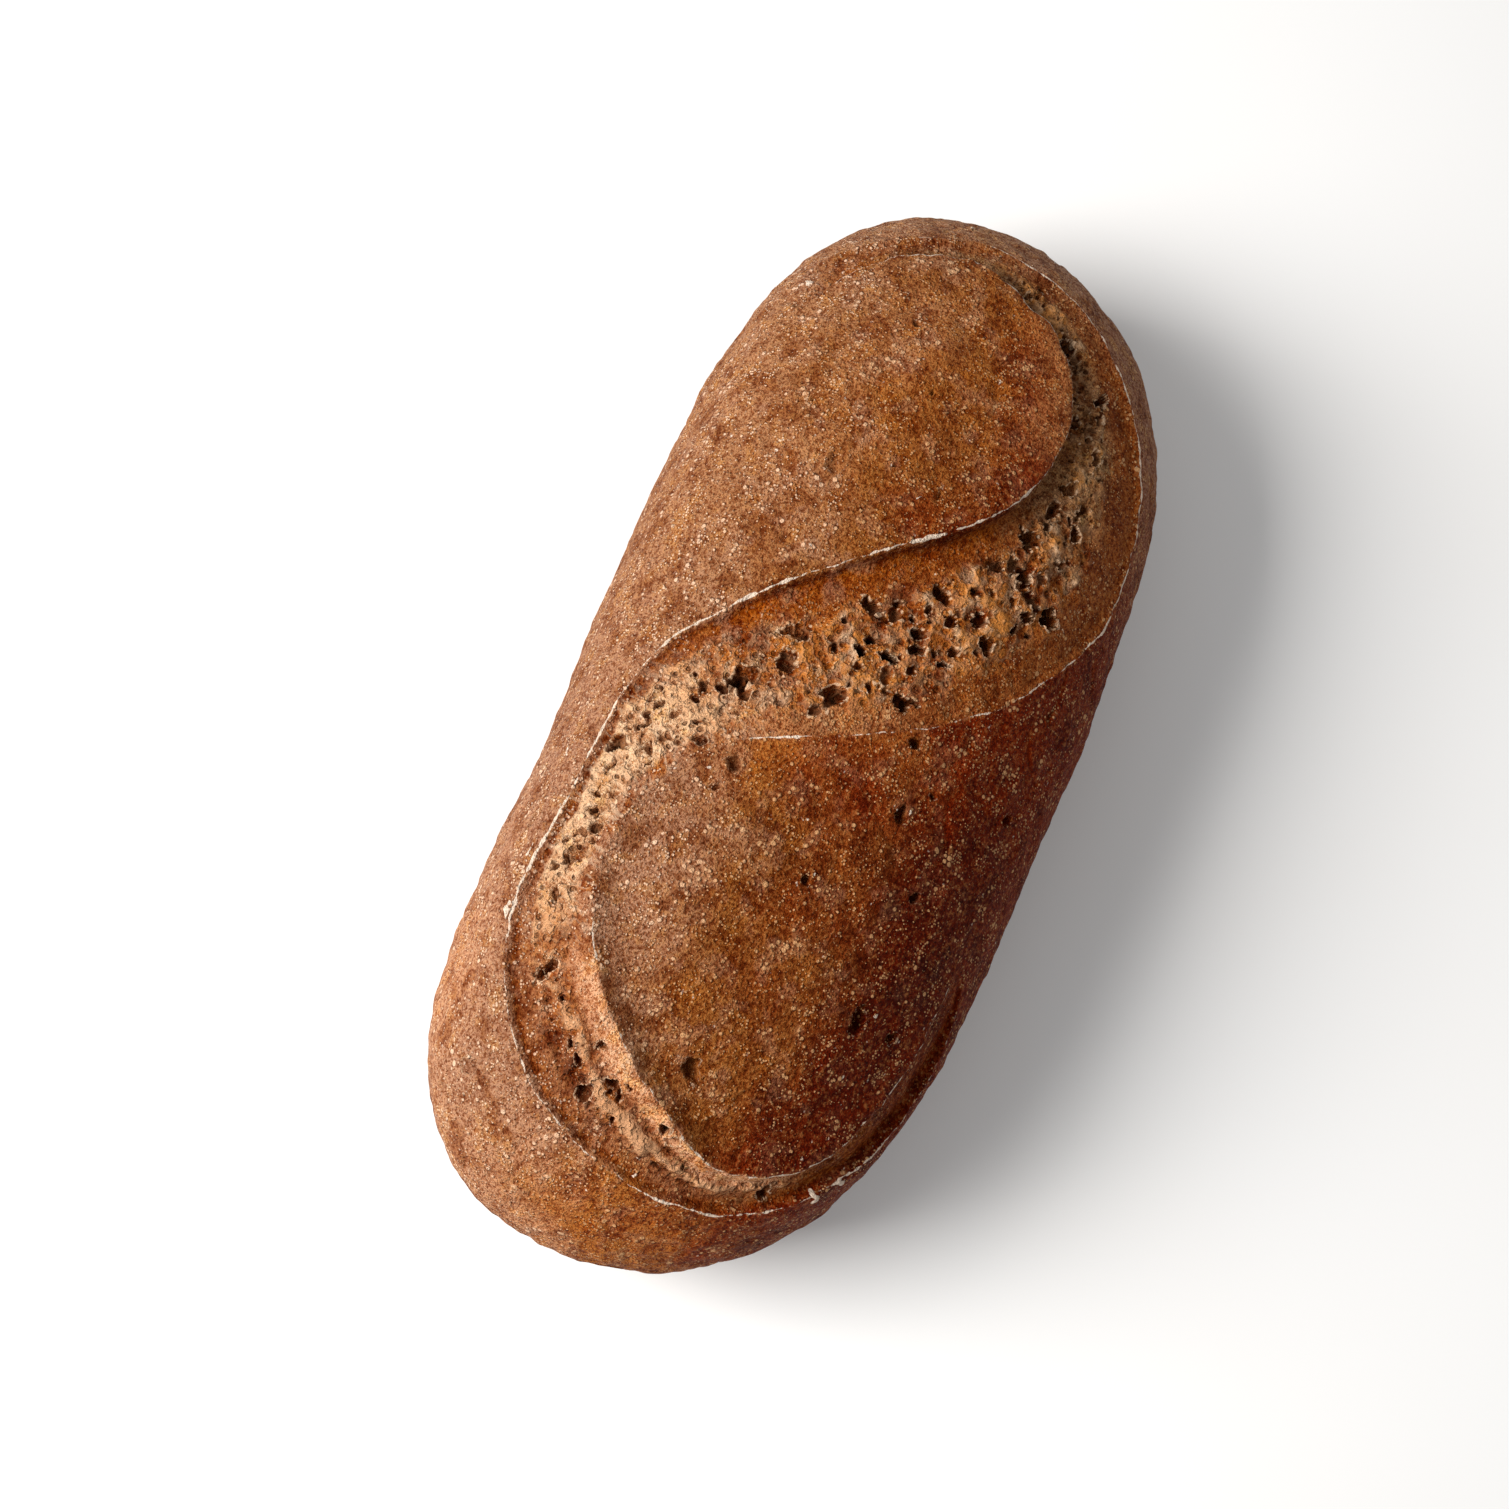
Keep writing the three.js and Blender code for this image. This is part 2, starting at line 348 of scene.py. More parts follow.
# Bits of floury skin that stick up along the lips and beside the pits, given the same way.
CHIPS = (
    (-75.5, 49.2, 3.8, 1.5, 20, 0.9),
    (-73, 49.4, 2, 1.2, -30, 0.8),
    (-60, 51, 4, 0.7, -5, 0.5),
    (-117.5, -1.5, 0.8, 1.8, 20, 0.5),
    (-104, -41.5, 2.2, 1, -50, 0.7),
    (-99, -46, 2.6, 1, -40, 0.7),
    (98.5, 48.5, 2.2, 1.3, 0, 0.7),
    (130.5, 18, 1, 2.2, 0, 0.6),
    (-35, 53, 4, 0.8, 30, 0.5),
    (-62.8, -35.5, 0.8, 2.2, 10, 0.7),
    (-64.5, -31.4, 1.6, 0.7, 20, 0.6),
    (-41.4, -9, 1.3, 0.8, 0, 0.6),
    (-44.4, -6.6, 0.8, 1.4, 0, 0.5),
    (-17.5, -23.6, 2.4, 0.8, 20, 0.7),
    (-19.5, -20.6, 1.8, 0.6, 10, 0.6),
    (-3.9, -17.3, 0.8, 1.6, 0, 0.5),
    (-6, -44.6, 1.6, 0.8, 0, 0.5),
    (-67, -42, 0.8, 1.4, 0, 0.5),
    (-29, 22.5, 1.2, 2.2, 30, 0.5),
    (50, 4, 2, 0.7, -20, 0.4),
)

# By station, how much flour shows on each lip.
RAISED_FLOUR = (
    (0, 0), (2, 0.3), (3, 1), (4, 0.8), (5, 0.9), (8, 0.9), (11, 0.8), (12.5, 1.5), (13.3, 0.3),
    (14, 1.5), (15.5, 1.1), (16.4, 0.3), (18, 0.8), (20.5, 1), (21.2, 0.1), (22.5, 0.5),
    (25, 0.6), (27, 0.8), (29, 0.7), (30, 0.2), (32, 0),
)
FLUSH_FLOUR = (
    (0, 0), (3, 0.1), (4.5, 0.5), (8, 0.9), (10, 1), (11.6, 0.9), (12, 0.1), (12.2, 0.9),
    (13.5, 0.6), (13.9, 0), (14.2, 0.4), (15.1, 0.3), (15.4, 0), (15.8, 0.1), (16, 0.9),
    (16.5, 0.8), (16.8, 0), (19.4, 0), (20, 0.4), (22, 0.2), (23, 0.8), (26, 0.6), (29, 0.4),
    (31, 0.3), (32, 0),
)

# The hook at the -X end is torn in two folds along the cut: height by share of the way across.
HOOK_FOLDS = (
    (0.15, 0), (0.32, -0.6), (0.42, -0.1), (0.52, 1), (0.6, 0.6), (0.7, -0.9), (0.8, -0.3),
    (0.95, 0),
)
HOOK_STATIONS = (20.5, 22, 25, 27)

# Ripples, as the spacing and height of each: of both lips in plan, of the edges of the open
# crumb, of the crust and of the torn crumb. Creases run where another noise passes through zero.
LIP_RIPPLES = ((4.5, 0.32), (1.5, 0.2))
CRUMB_EDGE_RIPPLES = ((6, 0.07), (2.2, 0.03))
CRUST_LUMPS = ((34, 0.8), (13, 0.55), (5.5, 0.3), (2.4, 0.28))
CRUMB_LUMPS = ((8, 0.7), (4.2, 0.7), (2, 0.5), (1, 0.25))
CREASE_SPACING = 13
CREASE_WIDTH = 0.09
CREASE_DEPTH = 0.32
CREASE_PATCHES = 21
NOISE_BLOCK = 61
NOISE_TURN = np.array(Euler((0.7, 0.4, 1.1)).to_matrix())

# The mesh: grid points along the loaf, over the crown, down each side and across the base.
GRID = (780, 520, 60, 40)
MOST_TRIANGLES = 196000
PATH_SAMPLES = 4001


def smoothstep(value, low, high):
    """0 below low, 1 above high, and 3t²-2t³ of the way t between them."""
    part = np.clip((value - low) / (high - low), 0, 1)
    return part * part * (3 - 2 * part)


def signed_power(value, exponent):
    """The value's size raised to a power, with the value's sign kept."""
    return np.sign(value) * np.abs(value) ** exponent


def bell(distance, reach):
    """1 at no distance, falling as the exponential of minus (distance / reach) squared."""
    return np.exp(-((distance / reach) ** 2))


def by_station(table, station):
    """Straight-line reading, at each station number, of a table of (station, value)."""
    stations, values = np.array(table).T
    return np.interp(station, stations, values)


def spline(points, samples_per_span):
    """Catmull-Rom curve through points: on each span the cubic whose ends have the slope of the
    line between the neighbours. An end point counts as its own outer neighbour."""
    spans = len(points) - 1
    place = np.linspace(0, spans, spans * samples_per_span + 1)
    first = np.minimum(place.astype(int), spans - 1)
    part = (place - first)[:, None]
    before, start, end, after = (points[np.clip(first + step, 0, spans)] for step in (-1, 0, 1, 2))
    leave, arrive = (end - before) / 2, (after - start) / 2
    cubic = 2 * start - 2 * end + leave + arrive
    square = 3 * end - 3 * start - 2 * leave - arrive
    return ((cubic * part + square) * part + leave) * part + start


def noise(points, size, seed):
    """Smooth random values from -1 to 1: random numbers on a turned cubic lattice of that
    spacing, blended between its eight corners by 3t²-2t³ along each axis."""
    block = np.random.default_rng(seed).uniform(-1, 1, (NOISE_BLOCK,) * 3)
    scaled = points @ NOISE_TURN / size + 0.37 * seed
    cell = np.floor(scaled).astype(int)
    part = scaled - cell
    part = part * part * (3 - 2 * part)
    total = np.zeros(points.shape[:-1])
    for corner in itertools.product((0, 1), repeat=3):
        weight = np.prod(np.where(corner, part, 1 - part), axis=-1)
        x, y, z = np.moveaxis((cell + corner) % NOISE_BLOCK, -1, 0)
        total += weight * block[x, y, z]
    return total


def lumps(points, layers, seed):
    """The sum of layers of noise, each given as its spacing and its height."""
    return sum(height * noise(points, size, seed + i) for i, (size, height) in enumerate(layers))


# --- The body -----------------------------------------------------------------------------


def outlines(x):
    """Half-width, crest and keel heights and sideways curl of the uncut body at x: each is a
    power curve of the share of the way from the middle to the end."""
    share = np.minimum(np.abs(x / HALF), 1)
    half_width = WIDTH / 2 * (1 - share**PLAN_POWER) ** PLAN_ROUNDING
    crest = (HEIGHT - WAIST_HEIGHT) * np.sqrt(1 - share**CREST_POWER)
    keel = KEEL_DEPTH * np.sqrt(1 - share**KEEL_POWER)
    return half_width, crest, keel, CURL * share**CURL_POWER


def body_points(x, angle):
    """Points of the uncut body. Each section is a superellipse about the waist, angle 0 at its
    crest and positive towards +Y, and is softly held above Z = 0, where the stone was."""
    half_width, crest, keel, middle = outlines(x)
    crown = np.cos(angle) >= 0
    exponent = np.where(crown, 2 / CROWN_EXPONENT, 2 / KEEL_EXPONENT)
    y = middle + half_width * signed_power(np.sin(angle), exponent)
    z = WAIST_HEIGHT + np.where(crown, crest, keel) * signed_power(np.cos(angle), exponent)
    z = (z + np.sqrt(z * z + STONE_SOFTNESS**2)) / 2
    return np.stack(np.broadcast_arrays(x, y, z), axis=-1)


def body_normals(x, angle):
    """Outward unit normals: the cross product of central differences along x and round angle."""
    end_gap, step, turn = 0.5, 0.3, 0.008
    inner = np.clip(x, -HALF + end_gap, HALF - end_gap)
    along = body_points(inner + step, angle) - body_points(inner - step, angle)
    around = body_points(inner, angle + turn) - body_points(inner, angle - turn)
    cross = np.cross(along, around)
    return cross / np.linalg.norm(cross, axis=-1, keepdims=True)


def body_grid(rows, crown, side, base):
    """x and angle of each grid point. Rows are evenly spaced by the length of the path that the
    crest and the waist make together. Columns go from -Y over the crown, down the +Y side,
    across the base and up again, meeting the stone at the same columns in every row."""
    turn = np.linspace(0, math.pi, PATH_SAMPLES)
    path_x = -HALF * np.cos(turn)
    half_width, crest, _, _ = outlines(path_x)
    steps = np.sqrt(np.diff(path_x) ** 2 + np.diff(half_width) ** 2 + np.diff(crest) ** 2)
    path = np.concatenate([[0], np.cumsum(steps)])
    x = np.interp(np.linspace(0, path[-1], rows + 2)[1:-1], path, path_x)[:, None]

    keel = outlines(x)[2]
    stone = np.pi - np.arccos(np.minimum(WAIST_HEIGHT / keel, 1) ** (KEEL_EXPONENT / 2))
    stone = np.minimum(stone, np.pi - LOWEST_GAP)
    quarter = np.full_like(x, np.pi / 2)
    spans = (
        (-quarter, quarter, crown),
        (quarter, stone, side),
        (stone, 2 * np.pi - stone, base),
        (2 * np.pi - stone, 3 * quarter, side),
    )
    angle = [start + (end - start) * np.arange(count) / count for start, end, count in spans]
    angle = np.concatenate(angle, axis=1)
    return np.broadcast_to(x, angle.shape), angle


# --- The cut ------------------------------------------------------------------------------


def nearest_sample(points, samples):
    """Index of the sample nearest each point: the least of |s|² - 2 p·s, in blocks of points."""
    samples = samples.astype(np.float32)
    blocks = np.array_split(points.astype(np.float32), max(len(points) // 20000, 1))
    squares = (samples**2).sum(axis=1)
    return np.concatenate([(squares - 2 * block @ samples.T).argmin(axis=1) for block in blocks])


def lip_distance(points, normals, curve, band_side):
    """How far each point is from a lip, measured on the skin and positive on the band's side,
    the station number nearest it, and the direction on the skin in which the distance grows.
    The plan distance is to the line through the nearest sample, and is lengthened by the slope."""
    plan = points[:, :2]
    tangents = np.gradient(curve, axis=0)
    spacing = np.linalg.norm(tangents, axis=1)
    tangents /= spacing[:, None]
    index = nearest_sample(plan, curve)
    tangent = tangents[index]
    offset = plan - curve[index]
    along = (offset * tangent).sum(axis=1)
    half = spacing[index] / 2
    past = along - np.clip(along, -half, half)
    across = band_side * (tangent[:, 0] * offset[:, 1] - tangent[:, 1] * offset[:, 0])
    station = (index + np.clip(along, -half, half) / (2 * half)) / SAMPLES_PER_STATION

    direction = band_side * np.column_stack([-tangent[:, 1], tangent[:, 0], np.zeros(len(plan))])
    rise = (direction * normals).sum(axis=1)
    direction -= rise[:, None] * normals
    direction /= np.linalg.norm(direction, axis=1, keepdims=True)
    lengthen = np.sqrt(1 + (rise / np.maximum(normals[:, 2], 0.2)) ** 2)
    distance = np.where(across < 0, -1, 1) * np.hypot(across * lengthen, past)
    return distance, np.clip(station, 0, LAST_STATION), direction


def tail_fade(station):
    """1 along the cut, falling to 0 over the last stations at both tails."""
    return smoothstep(station, 0, TAIL_STATIONS) * smoothstep(LAST_STATION - station, 0, TAIL_STATIONS)


def share_across(raised, flush):
    """The share of the way across the band, from the distances inside its two lips."""
    raised, flush = np.clip(raised, 0, None), np.clip(flush, 0, None)
    return raised / (raised + flush + 1e-6)


def cut_skin(points, normals, lip_height):
    """The cut opened in the crown: the displacement of each point and the fields that the
    crumb and the finish are placed by.

    The raised lip's edge is a profile carried along it. The skin rolls up to it as a bell, the
    band's floor follows its section as a share of the step, and the flush lip is a ridge with a
    hollow behind it. Each is read by distance across the cut and station along it."""
    raised_curve, flush_curve = (spline(CUT_STATIONS[:, lip], SAMPLES_PER_STATION) for lip in (0, 1))
    ragged = lumps(points, LIP_RIPPLES, 11)
    raised, station_r, side_r = lip_distance(points, normals, raised_curve, 1)
    flush, station_f, _ = lip_distance(points, normals, flush_curve, -1)
    fade_r, fade_f = tail_fade(station_r), tail_fade(station_f)
    raised = raised + by_station(LIP_RAGGED, station_r) * ragged
    flush = flush + FLUSH_RAGGED * ragged

    share = np.where(raised <= 0, 0, np.where(flush <= 0, 1, share_across(raised, flush)))
    station = station_r * (1 - share) + station_f * share
    fade = fade_r * (1 - share) + fade_f * share
    gap = np.linalg.norm(raised_curve - flush_curve, axis=1)
    gap = np.interp(station, np.arange(len(gap)) / SAMPLES_PER_STATION, gap)

    edge = spline(LIP_EDGE, 8)
    tight = np.minimum(1, gap / FULL_GAP) * by_station(LIP_SOFTNESS, station_r)
    place = np.interp(raised / tight, edge[:, 0], edge[:, 1]) * tight
    place = np.where(np.abs(raised) < LIP_EDGE[-1, 0] * tight, place, raised)
    place = raised + by_station(LIP_LEAN, station_r) * (place - raised)
    drop = np.interp(raised / tight, edge[:, 0], edge[:, 2])

    rise = by_station(LIP_RISE, station_r) * lip_height
    depth = by_station(STEP_DEPTH, station)
    skin = rise * bell(np.minimum(place, 0), LIP_ROLL) * fade_r
    floor = -depth * by_station(BAND_SECTION, share_across(place, flush))
    ridge = by_station(FLUSH_RIDGE, station_f)
    spread = by_station(RIDGE_SPREAD, station_f)
    closing = (ridge + BAND_SECTION[-1][1] * depth) * bell(flush, spread)
    reach = np.clip(-flush, 0, None) / HOLLOW_REACH
    hollow = by_station(RIDGE_HOLLOW, station_f) * reach * np.exp(1 - reach)
    beyond = ridge * bell(flush, RIDGE_REACH) - hollow
    band = np.where(flush > 0, (floor + closing) * fade, beyond * fade_f)
    height = (1 - drop) * skin + drop * band
    shift = (place - raised) * fade_r

    inside = smoothstep(raised, 0.3, 1.2) * smoothstep(flush, -0.3, 0.3) * smoothstep(fade, 0, 0.5)
    fields = {
        "raised": raised,
        "flush": flush,
        "station": station,
        "share": share,
        "inside": inside,
        "raised_flour": by_station(RAISED_FLOUR, station_r) * fade_r,
        "flush_flour": by_station(FLUSH_FLOUR, station_f) * fade_f,
    }
    return height[:, None] * normals + shift[:, None] * side_r, fields


# --- The crumb ----------------------------------------------------------------------------


def scattered_holes():
    """Small holes of the crumb, in the same form as the large ones: each lies a random share of
    the way between the crumb's two edges at a random station, and its size is log-normal."""
    random = np.random.default_rng(5)
    stations = np.arange(LAST_STATION)
    counts = by_station(HOLES_PER_STATION, stations + 0.5).astype(int)
    station = np.repeat(stations, counts) + random.uniform(0, 1, counts.sum())
    start, end = by_station(CRUMB_START, station), by_station(CRUMB_END, station)
    share = start + (end - start) * random.beta(1.3, 1.3, len(station))
    raised, flush = (spline(CUT_STATIONS[:, lip], SAMPLES_PER_STATION) for lip in (0, 1))
    index = (station * SAMPLES_PER_STATION).astype(int)
    place = raised[index] * (1 - share[:, None]) + flush[index] * share[:, None]
    length = by_station(HOLE_SIZE, station) * random.lognormal(0.1, 0.5, len(station))
    width = length * random.uniform(0.75, 1.7, len(station))
    turn = random.uniform(-40, 40, len(station))
    depth = np.minimum(length, width) * random.uniform(0.5, 1.5, len(station))
    return np.column_stack([place, length, width, turn, depth])


def oval_distance(x, y, place_x, place_y, length, width, turn):
    """The distance from a turned oval's centre, as a share of its half-sizes."""
    cos, sin = math.cos(math.radians(turn)), math.sin(math.radians(turn))
    x, y = x - place_x, y - place_y
    return np.hypot((cos * x + sin * y) / (length / 2), (cos * y - sin * x) / (width / 2))


def dig(points, holes, seed, steep=0.5):
    """Hollows at the holes, and their rims. A hole's outline is an oval, bent and made ragged by
    noise, and its hollow is its depth times a power of 1 - r². The power falls with the depth
    times steep, so that deep holes have steep sides. Hollows join by the deepest, and a rim is a
    bell just outside r = 1."""
    hollow = np.zeros(len(points))
    rim = np.zeros(len(points))
    warp = [0.9 * noise(points, 3, seed) + 0.45 * noise(points, 1.2, seed + 1) for seed in (seed, seed + 2)]
    ragged = 1 + 0.4 * noise(points, 1.7, seed + 4) + 0.2 * noise(points, 0.8, seed + 5)
    x, y = (points[:, :2] + np.column_stack(warp)).T
    for hole_x, hole_y, length, width, turn, depth in holes:
        reach = max(length, width) + 0.5
        near = np.flatnonzero((np.abs(x - hole_x) < reach) & (np.abs(y - hole_y) < reach))
        r = ragged[near] * oval_distance(x[near], y[near], hole_x, hole_y, length, width, turn)
        bowl = depth * np.clip(1 - r * r, 0, 1) ** (1 / (1 + steep * depth))
        hollow[near] = np.maximum(hollow[near], bowl)
        size = min(length, width)
        rim[near] = np.maximum(rim[near], min(size / 2, 1) * bell(r - 1.02, 0.5 / size))
    return hollow, rim


def patchwork(points, patches):
    """The sum of soft ovals, each its strength times a bell of the distance from its centre."""
    x, y = points[:, 0], points[:, 1]
    return sum(strength * bell(oval_distance(x, y, *oval), 1) for *oval, strength in patches)


def crumb_relief(points, fields):
    """The torn crumb's own relief: lumps, holes with thin rims, threads that run across the cut
    where the crumb was pulled apart, and folds along it in the outer hook."""
    station, share = fields["station"], fields["share"]
    wander = lumps(points, CRUMB_EDGE_RIPPLES, 21)
    start, end = by_station(CRUMB_START, station), by_station(CRUMB_END, station)
    open_crumb = smoothstep(share + wander, start - 0.05, start + 0.04)
    open_crumb *= 1 - smoothstep(share + wander, end - 0.04, end + 0.06)
    open_crumb *= fields["inside"] * smoothstep(station, 3.5, 5) * (1 - smoothstep(station, 27.5, 29.5))

    large, large_rim = dig(points, CRUMB_HOLES, 31)
    small, small_rim = dig(points, scattered_holes(), 31)
    large = large * (1 + 0.5 * noise(points, 1.3, 37))
    hollow = np.maximum(large * fields["inside"], small * open_crumb)
    rim = np.maximum(large_rim * fields["inside"], small_rim * open_crumb) * (hollow < 0.25)

    threads = 1 - np.abs(noise(points * (1, 0.3, 0.3), 1.3, 41)) * 2
    pulled = open_crumb * smoothstep(station, 15.5, 17) * (1 - smoothstep(station, 19.5, 21))
    place, height = np.array(HOOK_FOLDS).T
    folds = np.interp(share + 0.5 * wander, place, height) + 0.3 * noise(points, 3, 42)
    start, full, fading, end = HOOK_STATIONS
    folded = fields["inside"] * smoothstep(station, start, full) * (1 - smoothstep(station, fading, end))

    rough = lumps(points, CRUMB_LUMPS, 51) * open_crumb
    relief = rough + 0.3 * threads * pulled + folds * folded + 0.25 * rim - hollow
    return relief, {"crumb": open_crumb, "hollow": hollow, "rim": rim}


# --- The whole surface --------------------------------------------------------------------


# What the fields hold off the crown, where it isn't 0: both lips are far away.
OFF_CROWN = {"raised": -60.0, "flush": -60.0}


def loaf_surface(grid, lip_height):
    """Points, in millimetres, and named fields of the loaf on a grid of rows and columns. The
    cut, the crumb and the crust's pits move the crown along its normals, and lumps and creases
    move the whole skin above the stone."""
    x, angle = body_grid(*grid)
    points = body_points(x, angle).reshape(-1, 3)
    normals = body_normals(x, angle).reshape(-1, 3)
    crown = np.flatnonzero((np.cos(angle) > 0.02).ravel())
    top, top_normals = points[crown], normals[crown]

    opened, fields = cut_skin(top, top_normals, lip_height)
    relief, crumb = crumb_relief(top, fields)
    fields.update(crumb)
    pits, pit_rim = dig(top, CRUST_PITS, 61, 0.1)
    chips, _ = dig(top, CHIPS, 81)
    # Patches of darker and lighter crust: partly its bake, partly painted shade and painted light.
    fields["baked"] = patchwork(top, BAKE_LIGHT_AND_SHADE_PATCHES)
    skin = 1 - fields["inside"]
    # The pits join the hollows, which the finish darkens by depth with painted shade.
    fields["hollow"] = np.maximum(fields["hollow"], 1.1 * pits * skin)
    fields["rim"] = np.maximum(fields["rim"], 0.5 * pit_rim * skin * (pits < 0.2))
    relief += skin * (0.15 * pit_rim - 1.3 * pits) + chips
    fields["relief"] = relief
    fields["chips"] = chips

    creases = CREASE_DEPTH * bell(noise(points, CREASE_SPACING, 91), CREASE_WIDTH)
    creases = creases * (noise(points, CREASE_PATCHES, 92) > 0)
    moved = (lumps(points, CRUST_LUMPS, 71) - creases) * smoothstep(points[:, 2], 0.5, 8)
    result = points + moved[:, None] * normals
    result[crown] += opened + relief[:, None] * top_normals

    result[:, 1] -= SLACK * bell(result[:, 0] - SLACK_X, SLACK_REACH) * smoothstep(result[:, 1], 49, 64)
    result[:, 0] -= CORNER_DRAW * smoothstep(result[:, 0], 60, 115) * smoothstep(result[:, 1], 5, 45)

    spread = {}
    for name, values in fields.items():
        spread[name] = np.full(len(points), OFF_CROWN.get(name, 0.0))
        spread[name][crown] = values
    return result, spread, angle.shape


def fit_to_frame(points):
    """Brings the loaf to the frame's box exactly, scaling each axis about the box's middle."""
    low, high = points.min(axis=0), points.max(axis=0)
    return LOW + (points - low) * (HIGH - LOW) / (high - low)


def closed_faces(rows, columns):
    """Quads between neighbouring rows, joined round each row, and a fan to one point at each end."""
    row, column = np.meshgrid(np.arange(rows - 1), np.arange(columns), indexing="ij")
    following = (column + 1) % columns
    corners = [row * columns + column, (row + 1) * columns + column]
    corners += [(row + 1) * columns + following, row * columns + following]
    quads = np.stack(corners, axis=-1).reshape(-1, 4)
    ring = np.arange(columns)
    onward = (ring + 1) % columns
    last = (rows - 1) * columns
    first_fan = np.column_stack([np.full(columns, rows * columns), ring, onward])
    last_fan = np.column_stack([np.full(columns, rows * columns + 1), last + onward, last + ring])
    return quads, np.vstack([first_fan, last_fan])


def make_mesh(name, points, quads, triangles, fields):
    """A mesh of quads and triangles, with each field as an attribute of its points."""
    mesh = bpy.data.meshes.new(name)
    mesh.vertices.add(len(points))
    mesh.vertices.foreach_set("co", points.astype(np.float32).ravel())
    mesh.loops.add(quads.size + triangles.size)
    corners = np.concatenate([quads.ravel(), triangles.ravel()])
    mesh.loops.foreach_set("vertex_index", corners.astype(np.int32))
    sizes = np.concatenate([np.full(len(quads), 4), np.full(len(triangles), 3)])
    mesh.polygons.add(len(sizes))
    mesh.polygons.foreach_set("loop_start", (np.cumsum(sizes) - sizes).astype(np.int32))
    mesh.polygons.foreach_set("use_smooth", np.ones(len(sizes), bool))
    for field, values in fields.items():
        attribute = mesh.attributes.new(field, "FLOAT", "POINT")
        attribute.data.foreach_set("value", values.astype(np.float32))
    mesh.update(calc_edges=True)
    mesh.validate()
    return mesh


def thinned(mesh, most_triangles):
    """The mesh with its flattest edges collapsed until it has at most that many triangles."""
    triangles = sum(len(face.vertices) - 2 for face in mesh.polygons)
    piece = bpy.data.objects.new(mesh.name, mesh)
    bpy.context.scene.collection.objects.link(piece)
    thin = piece.modifiers.new("thin", "DECIMATE")
    thin.ratio = min(1, most_triangles / triangles)
    evaluated = piece.evaluated_get(bpy.context.evaluated_depsgraph_get())
    result = bpy.data.meshes.new_from_object(evaluated)
    bpy.data.objects.remove(piece)
    bpy.data.meshes.remove(mesh)
    return result


# --- Finishes -----------------------------------------------------------------------------


class Wire:
    """A value inside a material. Operators on it add the Math nodes that work it out."""

    def __init__(self, finish, socket):
        self.finish = finish
        self.socket = socket

    def maths(self, operation, *values):
        return self.finish.node("ShaderNodeMath", {"operation": operation}, dict(enumerate(values)))

    def __add__(self, other):
        return self.maths("ADD", self, other)

    def __sub__(self, other):
        return self.maths("SUBTRACT", self, other)

    def __rsub__(self, other):
        return self.maths("SUBTRACT", other, self)

    def __mul__(self, other):
        return self.maths("MULTIPLY", self, other)

    __radd__ = __add__
    __rmul__ = __mul__

    def __abs__(self):
        return self.maths("ABSOLUTE", self)

    def power(self, exponent):
        return self.maths("POWER", self, exponent)

    def greater(self, other):
        return self.maths("MAXIMUM", self, other)


class Finish:
    """A material under construction. node() adds any node: its settings first, then its sockets."""

    def __init__(self, name):
        self.material = bpy.data.materials.new(name)
        self.material.use_nodes = True
        self.tree = self.material.node_tree
        self.tree.nodes.clear()
        self.place = self.node("ShaderNodeTexCoord", output="Object")

    def node(self, kind, settings=None, inputs=None, output=0):
        node = self.tree.nodes.new(kind)
        for name, value in (settings or {}).items():
            setattr(node, name, value)
        for name, value in (inputs or {}).items():
            if isinstance(value, Wire):
                self.tree.links.new(value.socket, node.inputs[name])
            else:
                node.inputs[name].default_value = value
        return Wire(self, node.outputs[output])

    def field(self, name):
        return self.node("ShaderNodeAttribute", {"attribute_name": name}, output="Fac")

    def moved(self, offset):
        return self.node("ShaderNodeMapping", {}, {"Vector": self.place, "Location": (offset,) * 3})

    def cloud(self, size_mm, detail=2, offset=0, roughness=0.5):
        """Smooth noise whose features are about size_mm across, around one half."""
        inputs = {"Vector": self.moved(offset), "Scale": 1 / (size_mm * MM)}
        inputs.update({"Detail": detail, "Roughness": roughness})
        return self.node("ShaderNodeTexNoise", {}, inputs, "Fac")

    def grains(self, size_mm, offset, output="Distance"):
        """Round cells about size_mm apart: the distance from each cell's centre, or its colour."""
        inputs = {"Vector": self.moved(offset), "Scale": 1 / (size_mm * MM)}
        return self.node("ShaderNodeTexVoronoi", {}, inputs, output)

    def flecks(self, size_mm, offset, variety):
        """The distance from each grain's centre, with a random share of variety added to each
        grain, so that a threshold makes flecks of many sizes."""
        chance = self.node("ShaderNodeSeparateColor", {}, {0: self.grains(size_mm, offset, "Color")})
        return self.grains(size_mm, offset) + chance * variety

    def fade(self, value, low, high):
        """0 where value is low and 1 where it is high, eased at both ends. low may be above high."""
        inputs = {"Value": value, "From Min": low, "From Max": high}
        return self.node("ShaderNodeMapRange", {"interpolation_type": "SMOOTHSTEP"}, inputs)

    def mix(self, mask, first, second, blend="MIX"):
        """first where mask is 0 and second where it is 1."""
        settings = {"data_type": "RGBA", "blend_type": blend}
        return self.node("ShaderNodeMix", settings, {0: mask, 6: first, 7: second}, 2)

    def tinted(self, mask, ground, tint):
        """The ground, multiplied by a tint where mask is 1."""
        return self.mix(mask, ground, (*tint, 1), "MULTIPLY")

    def finished(self, sockets):
        shader = self.node("ShaderNodeBsdfPrincipled", {}, sockets)
        output = self.tree.nodes.new("ShaderNodeOutputMaterial")
        self.tree.links.new(shader.socket, output.inputs["Surface"])
        return self.material


def colour(hex_code):
    """Scene-linear red, green, blue and alpha of a display colour such as a5632f."""
    display = [int(hex_code[i : i + 2], 16) / 255 for i in (0, 2, 4)]
    return (*(part / 12.92 if part <= 0.04045 else ((part + 0.055) / 1.055) ** 2.4 for part in display), 1)


